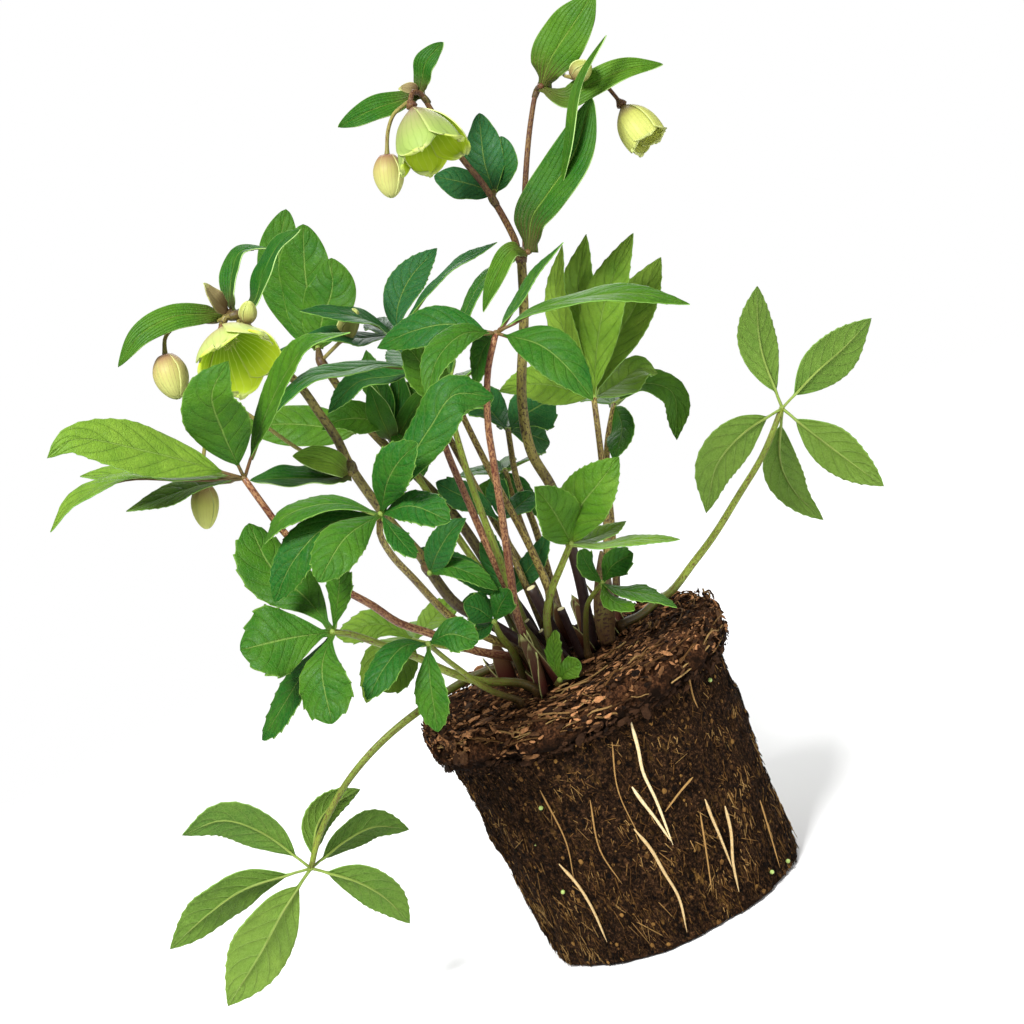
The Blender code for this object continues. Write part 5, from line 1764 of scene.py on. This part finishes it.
VEINS = vein_group()
SPECKLES = speckle_group()
TOP_GREENS = (ink(34, 88, 46), ink(26, 86, 20), ink(70, 112, 20), ink(124, 156, 52))
UNDER_GREENS = (ink(62, 100, 40), ink(88, 122, 42), ink(108, 138, 52), ink(134, 162, 68))
LEAF_FOOT = (ink(104, 84, 40), 0.1, 0.35)
BRACT_FOOT = (ink(82, 58, 38), 0.4, 0.62)
LEAF_TOP = blade_material(
    "leaf_top", TOP_GREENS, (ink(100, 140, 56), ink(136, 166, 80), ink(130, 166, 70)),
    LEAF_FOOT, LEAF_VEINS, 0.46, -1.0)
LEAF_UNDER = blade_material(
    "leaf_under", UNDER_GREENS, (ink(146, 172, 88), ink(162, 186, 104), ink(150, 178, 88)),
    LEAF_FOOT, LEAF_VEINS, 0.6, 1.0)
BRACT_TOP = blade_material(
    "bract_top", TOP_GREENS, (ink(88, 128, 42), ink(130, 158, 66), ink(160, 186, 104)),
    BRACT_FOOT, BRACT_VEINS, 0.46, -0.8)
BRACT_UNDER = blade_material(
    "bract_under", UNDER_GREENS, (ink(146, 172, 88), ink(162, 186, 104), ink(160, 186, 104)),
    BRACT_FOOT, BRACT_VEINS, 0.6, 0.8)
LEAF_EDGE = plain_blade_material("leaf_edge", ink(100, 140, 56), 0.5)
BRACT_EDGE = plain_blade_material("bract_edge", ink(146, 176, 104), 0.5)
RIB = stalk_material("leaf_rib", ink(112, 138, 54), ink(134, 158, 70), ink(110, 92, 46), 0.1, 0.5)
RED_RIB = stalk_material("leaf_rib_red", ink(96, 66, 38), ink(110, 104, 50), ink(78, 30, 24), 0.4, 0.5)
LEAF_SIDES = (LEAF_TOP, LEAF_UNDER, LEAF_EDGE, RIB)
RED_LEAF_SIDES = (LEAF_TOP, LEAF_UNDER, LEAF_EDGE, RED_RIB)
BRACT_SIDES = (BRACT_TOP, BRACT_UNDER, BRACT_EDGE, RED_RIB)
DARK_FOOT = ink(40, 20, 16)
STALKS = {
    name: stalk_material(name, *looks) for name, looks in {
        "brown_stalk": (ink(116, 102, 46), ink(150, 136, 72), ink(58, 28, 18), 0.62, 0.45,
                        (DARK_FOOT, 0.5, 4.5)),
        "red_stalk": (ink(130, 88, 58), ink(168, 128, 86), ink(78, 26, 20), 0.66, 0.45,
                      (DARK_FOOT, 0.5, 4.5)),
        "green_stalk": (ink(98, 116, 34), ink(128, 144, 50), ink(84, 62, 28), 0.42, 0.45,
                        (ink(52, 38, 20), 0.0, 5.5)),
        "stem": (ink(90, 82, 34), ink(132, 122, 60), ink(44, 26, 18), 0.5, 0.45,
                 (ink(36, 20, 20), 3.0, 11.0)),
        "flower_stalk": (ink(92, 62, 40), ink(118, 92, 50), ink(62, 26, 24), 0.55, 0.45),
        "pedicel": (ink(118, 116, 54), ink(140, 134, 70), ink(96, 58, 40), 0.36, 0.5),
    }.items()
}
SHEATH = stalk_material("sheath", ink(84, 62, 36), ink(92, 90, 40), ink(52, 28, 24), 0.5, 0.5)
SCALE = sepal_material(
    "crown_scale", ink(84, 58, 36), ink(70, 30, 22), ink(30, 12, 10), ink(56, 28, 20), 0.05)
DRY_BRACT = sepal_material(
    "dry_bract", ink(142, 128, 86), ink(118, 96, 62), ink(78, 50, 36), ink(96, 74, 50), 0.1)
SEPAL_GREEN = sepal_material(
    "sepal_green", ink(146, 168, 86), ink(150, 156, 94), ink(140, 112, 92), ink(122, 144, 70), 0.2)
SEPAL_BLUSH = sepal_material(
    "sepal_blush", ink(178, 192, 112), ink(180, 170, 116), ink(154, 118, 102), ink(158, 160, 98), 0.25)
SEPAL_CREAM = sepal_material(
    "sepal_cream", ink(200, 206, 112), ink(190, 192, 100), ink(154, 118, 88), ink(176, 172, 92), 0.3)
# The cup insides carry a painted glow that brightens their shaded throats; the lit inside of the left flower
# is a brighter copy with a stronger painted glow.
SEPAL_INSIDE = sepal_material(
    "sepal_inside", ink(190, 214, 46), ink(128, 168, 18), ink(66, 112, 10), ink(214, 228, 104), 0.4, 0.15)
SEPAL_LIT = sepal_material(
    "sepal_lit_inside", ink(206, 226, 60), ink(138, 178, 22), ink(70, 116, 12), ink(222, 236, 120),
    0.45, 0.48)
SEPAL_EDGE = plain_blade_material("sepal_edge", ink(170, 178, 112), 0.5)
SEPAL_SIDES = {
    "top": (SEPAL_GREEN, SEPAL_INSIDE, SEPAL_EDGE),
    "left": (SEPAL_BLUSH, SEPAL_LIT, SEPAL_EDGE),
    "right": (SEPAL_CREAM, SEPAL_CREAM, SEPAL_EDGE),
}
BUD = sepal_material("bud", ink(198, 200, 118), ink(184, 176, 104), ink(144, 104, 80), ink(168, 134, 98), 0.2)
SMALL_BUD = sepal_material(
    "small_bud", ink(164, 172, 88), ink(152, 150, 84), ink(118, 90, 62), ink(140, 130, 72), 0.15)
STAMEN = crumb_material(
    "stamen", [(0.0, ink(112, 150, 40)), (0.5, ink(206, 212, 130)), (1.0, ink(238, 234, 176))], 0.6)
PEAT = peat_material()
BARK = bark_material()
ROOTLET = crumb_material(
    "rootlet",
    [(0.0, ink(12, 7, 4)), (0.4, ink(46, 29, 15)), (0.65, ink(104, 72, 36)), (1.0, ink(164, 130, 78))], 0.9)
PALE_ROOT = crumb_material(
    "pale_root",
    [(0.0, ink(78, 50, 24)), (0.5, ink(164, 128, 76)), (0.8, ink(206, 184, 138)), (1.0, ink(226, 212, 176))],
    0.7)
CRUMB = crumb_material(
    "crumb",
    [(0.0, ink(14, 8, 5)), (0.4, ink(58, 38, 24)), (0.7, ink(106, 74, 46)), (1.0, ink(176, 124, 82))], 0.9)
PEAT_CRUMB = crumb_material(
    "peat_crumb",
    [(0.0, ink(7, 4, 3)), (0.4, ink(28, 18, 10)), (0.7, ink(74, 50, 26)), (1.0, ink(130, 96, 50))], 0.95)
STRAW = crumb_material(
    "straw", [(0.0, ink(36, 22, 12)), (0.5, ink(92, 64, 34)), (1.0, ink(158, 128, 80))], 0.85)
PALE_END = plain_blade_material("cut_end", ink(176, 168, 128), 0.7)
BEAD = plain_blade_material("bead", ink(140, 160, 88), 0.35)

root_ball()
rootlets()
wall_crumbs()
side_roots()
beads()
mat()
crumbs_and_chips()
straws()
stem_routes = stems()
stalked_leaves()
inner_leaves()
crown_sheaths()
cut_stubs()
basal_leaves()
bract_groups(stem_routes)
young_shoot()
flowers(stem_routes)
buds(stem_routes)
studio()
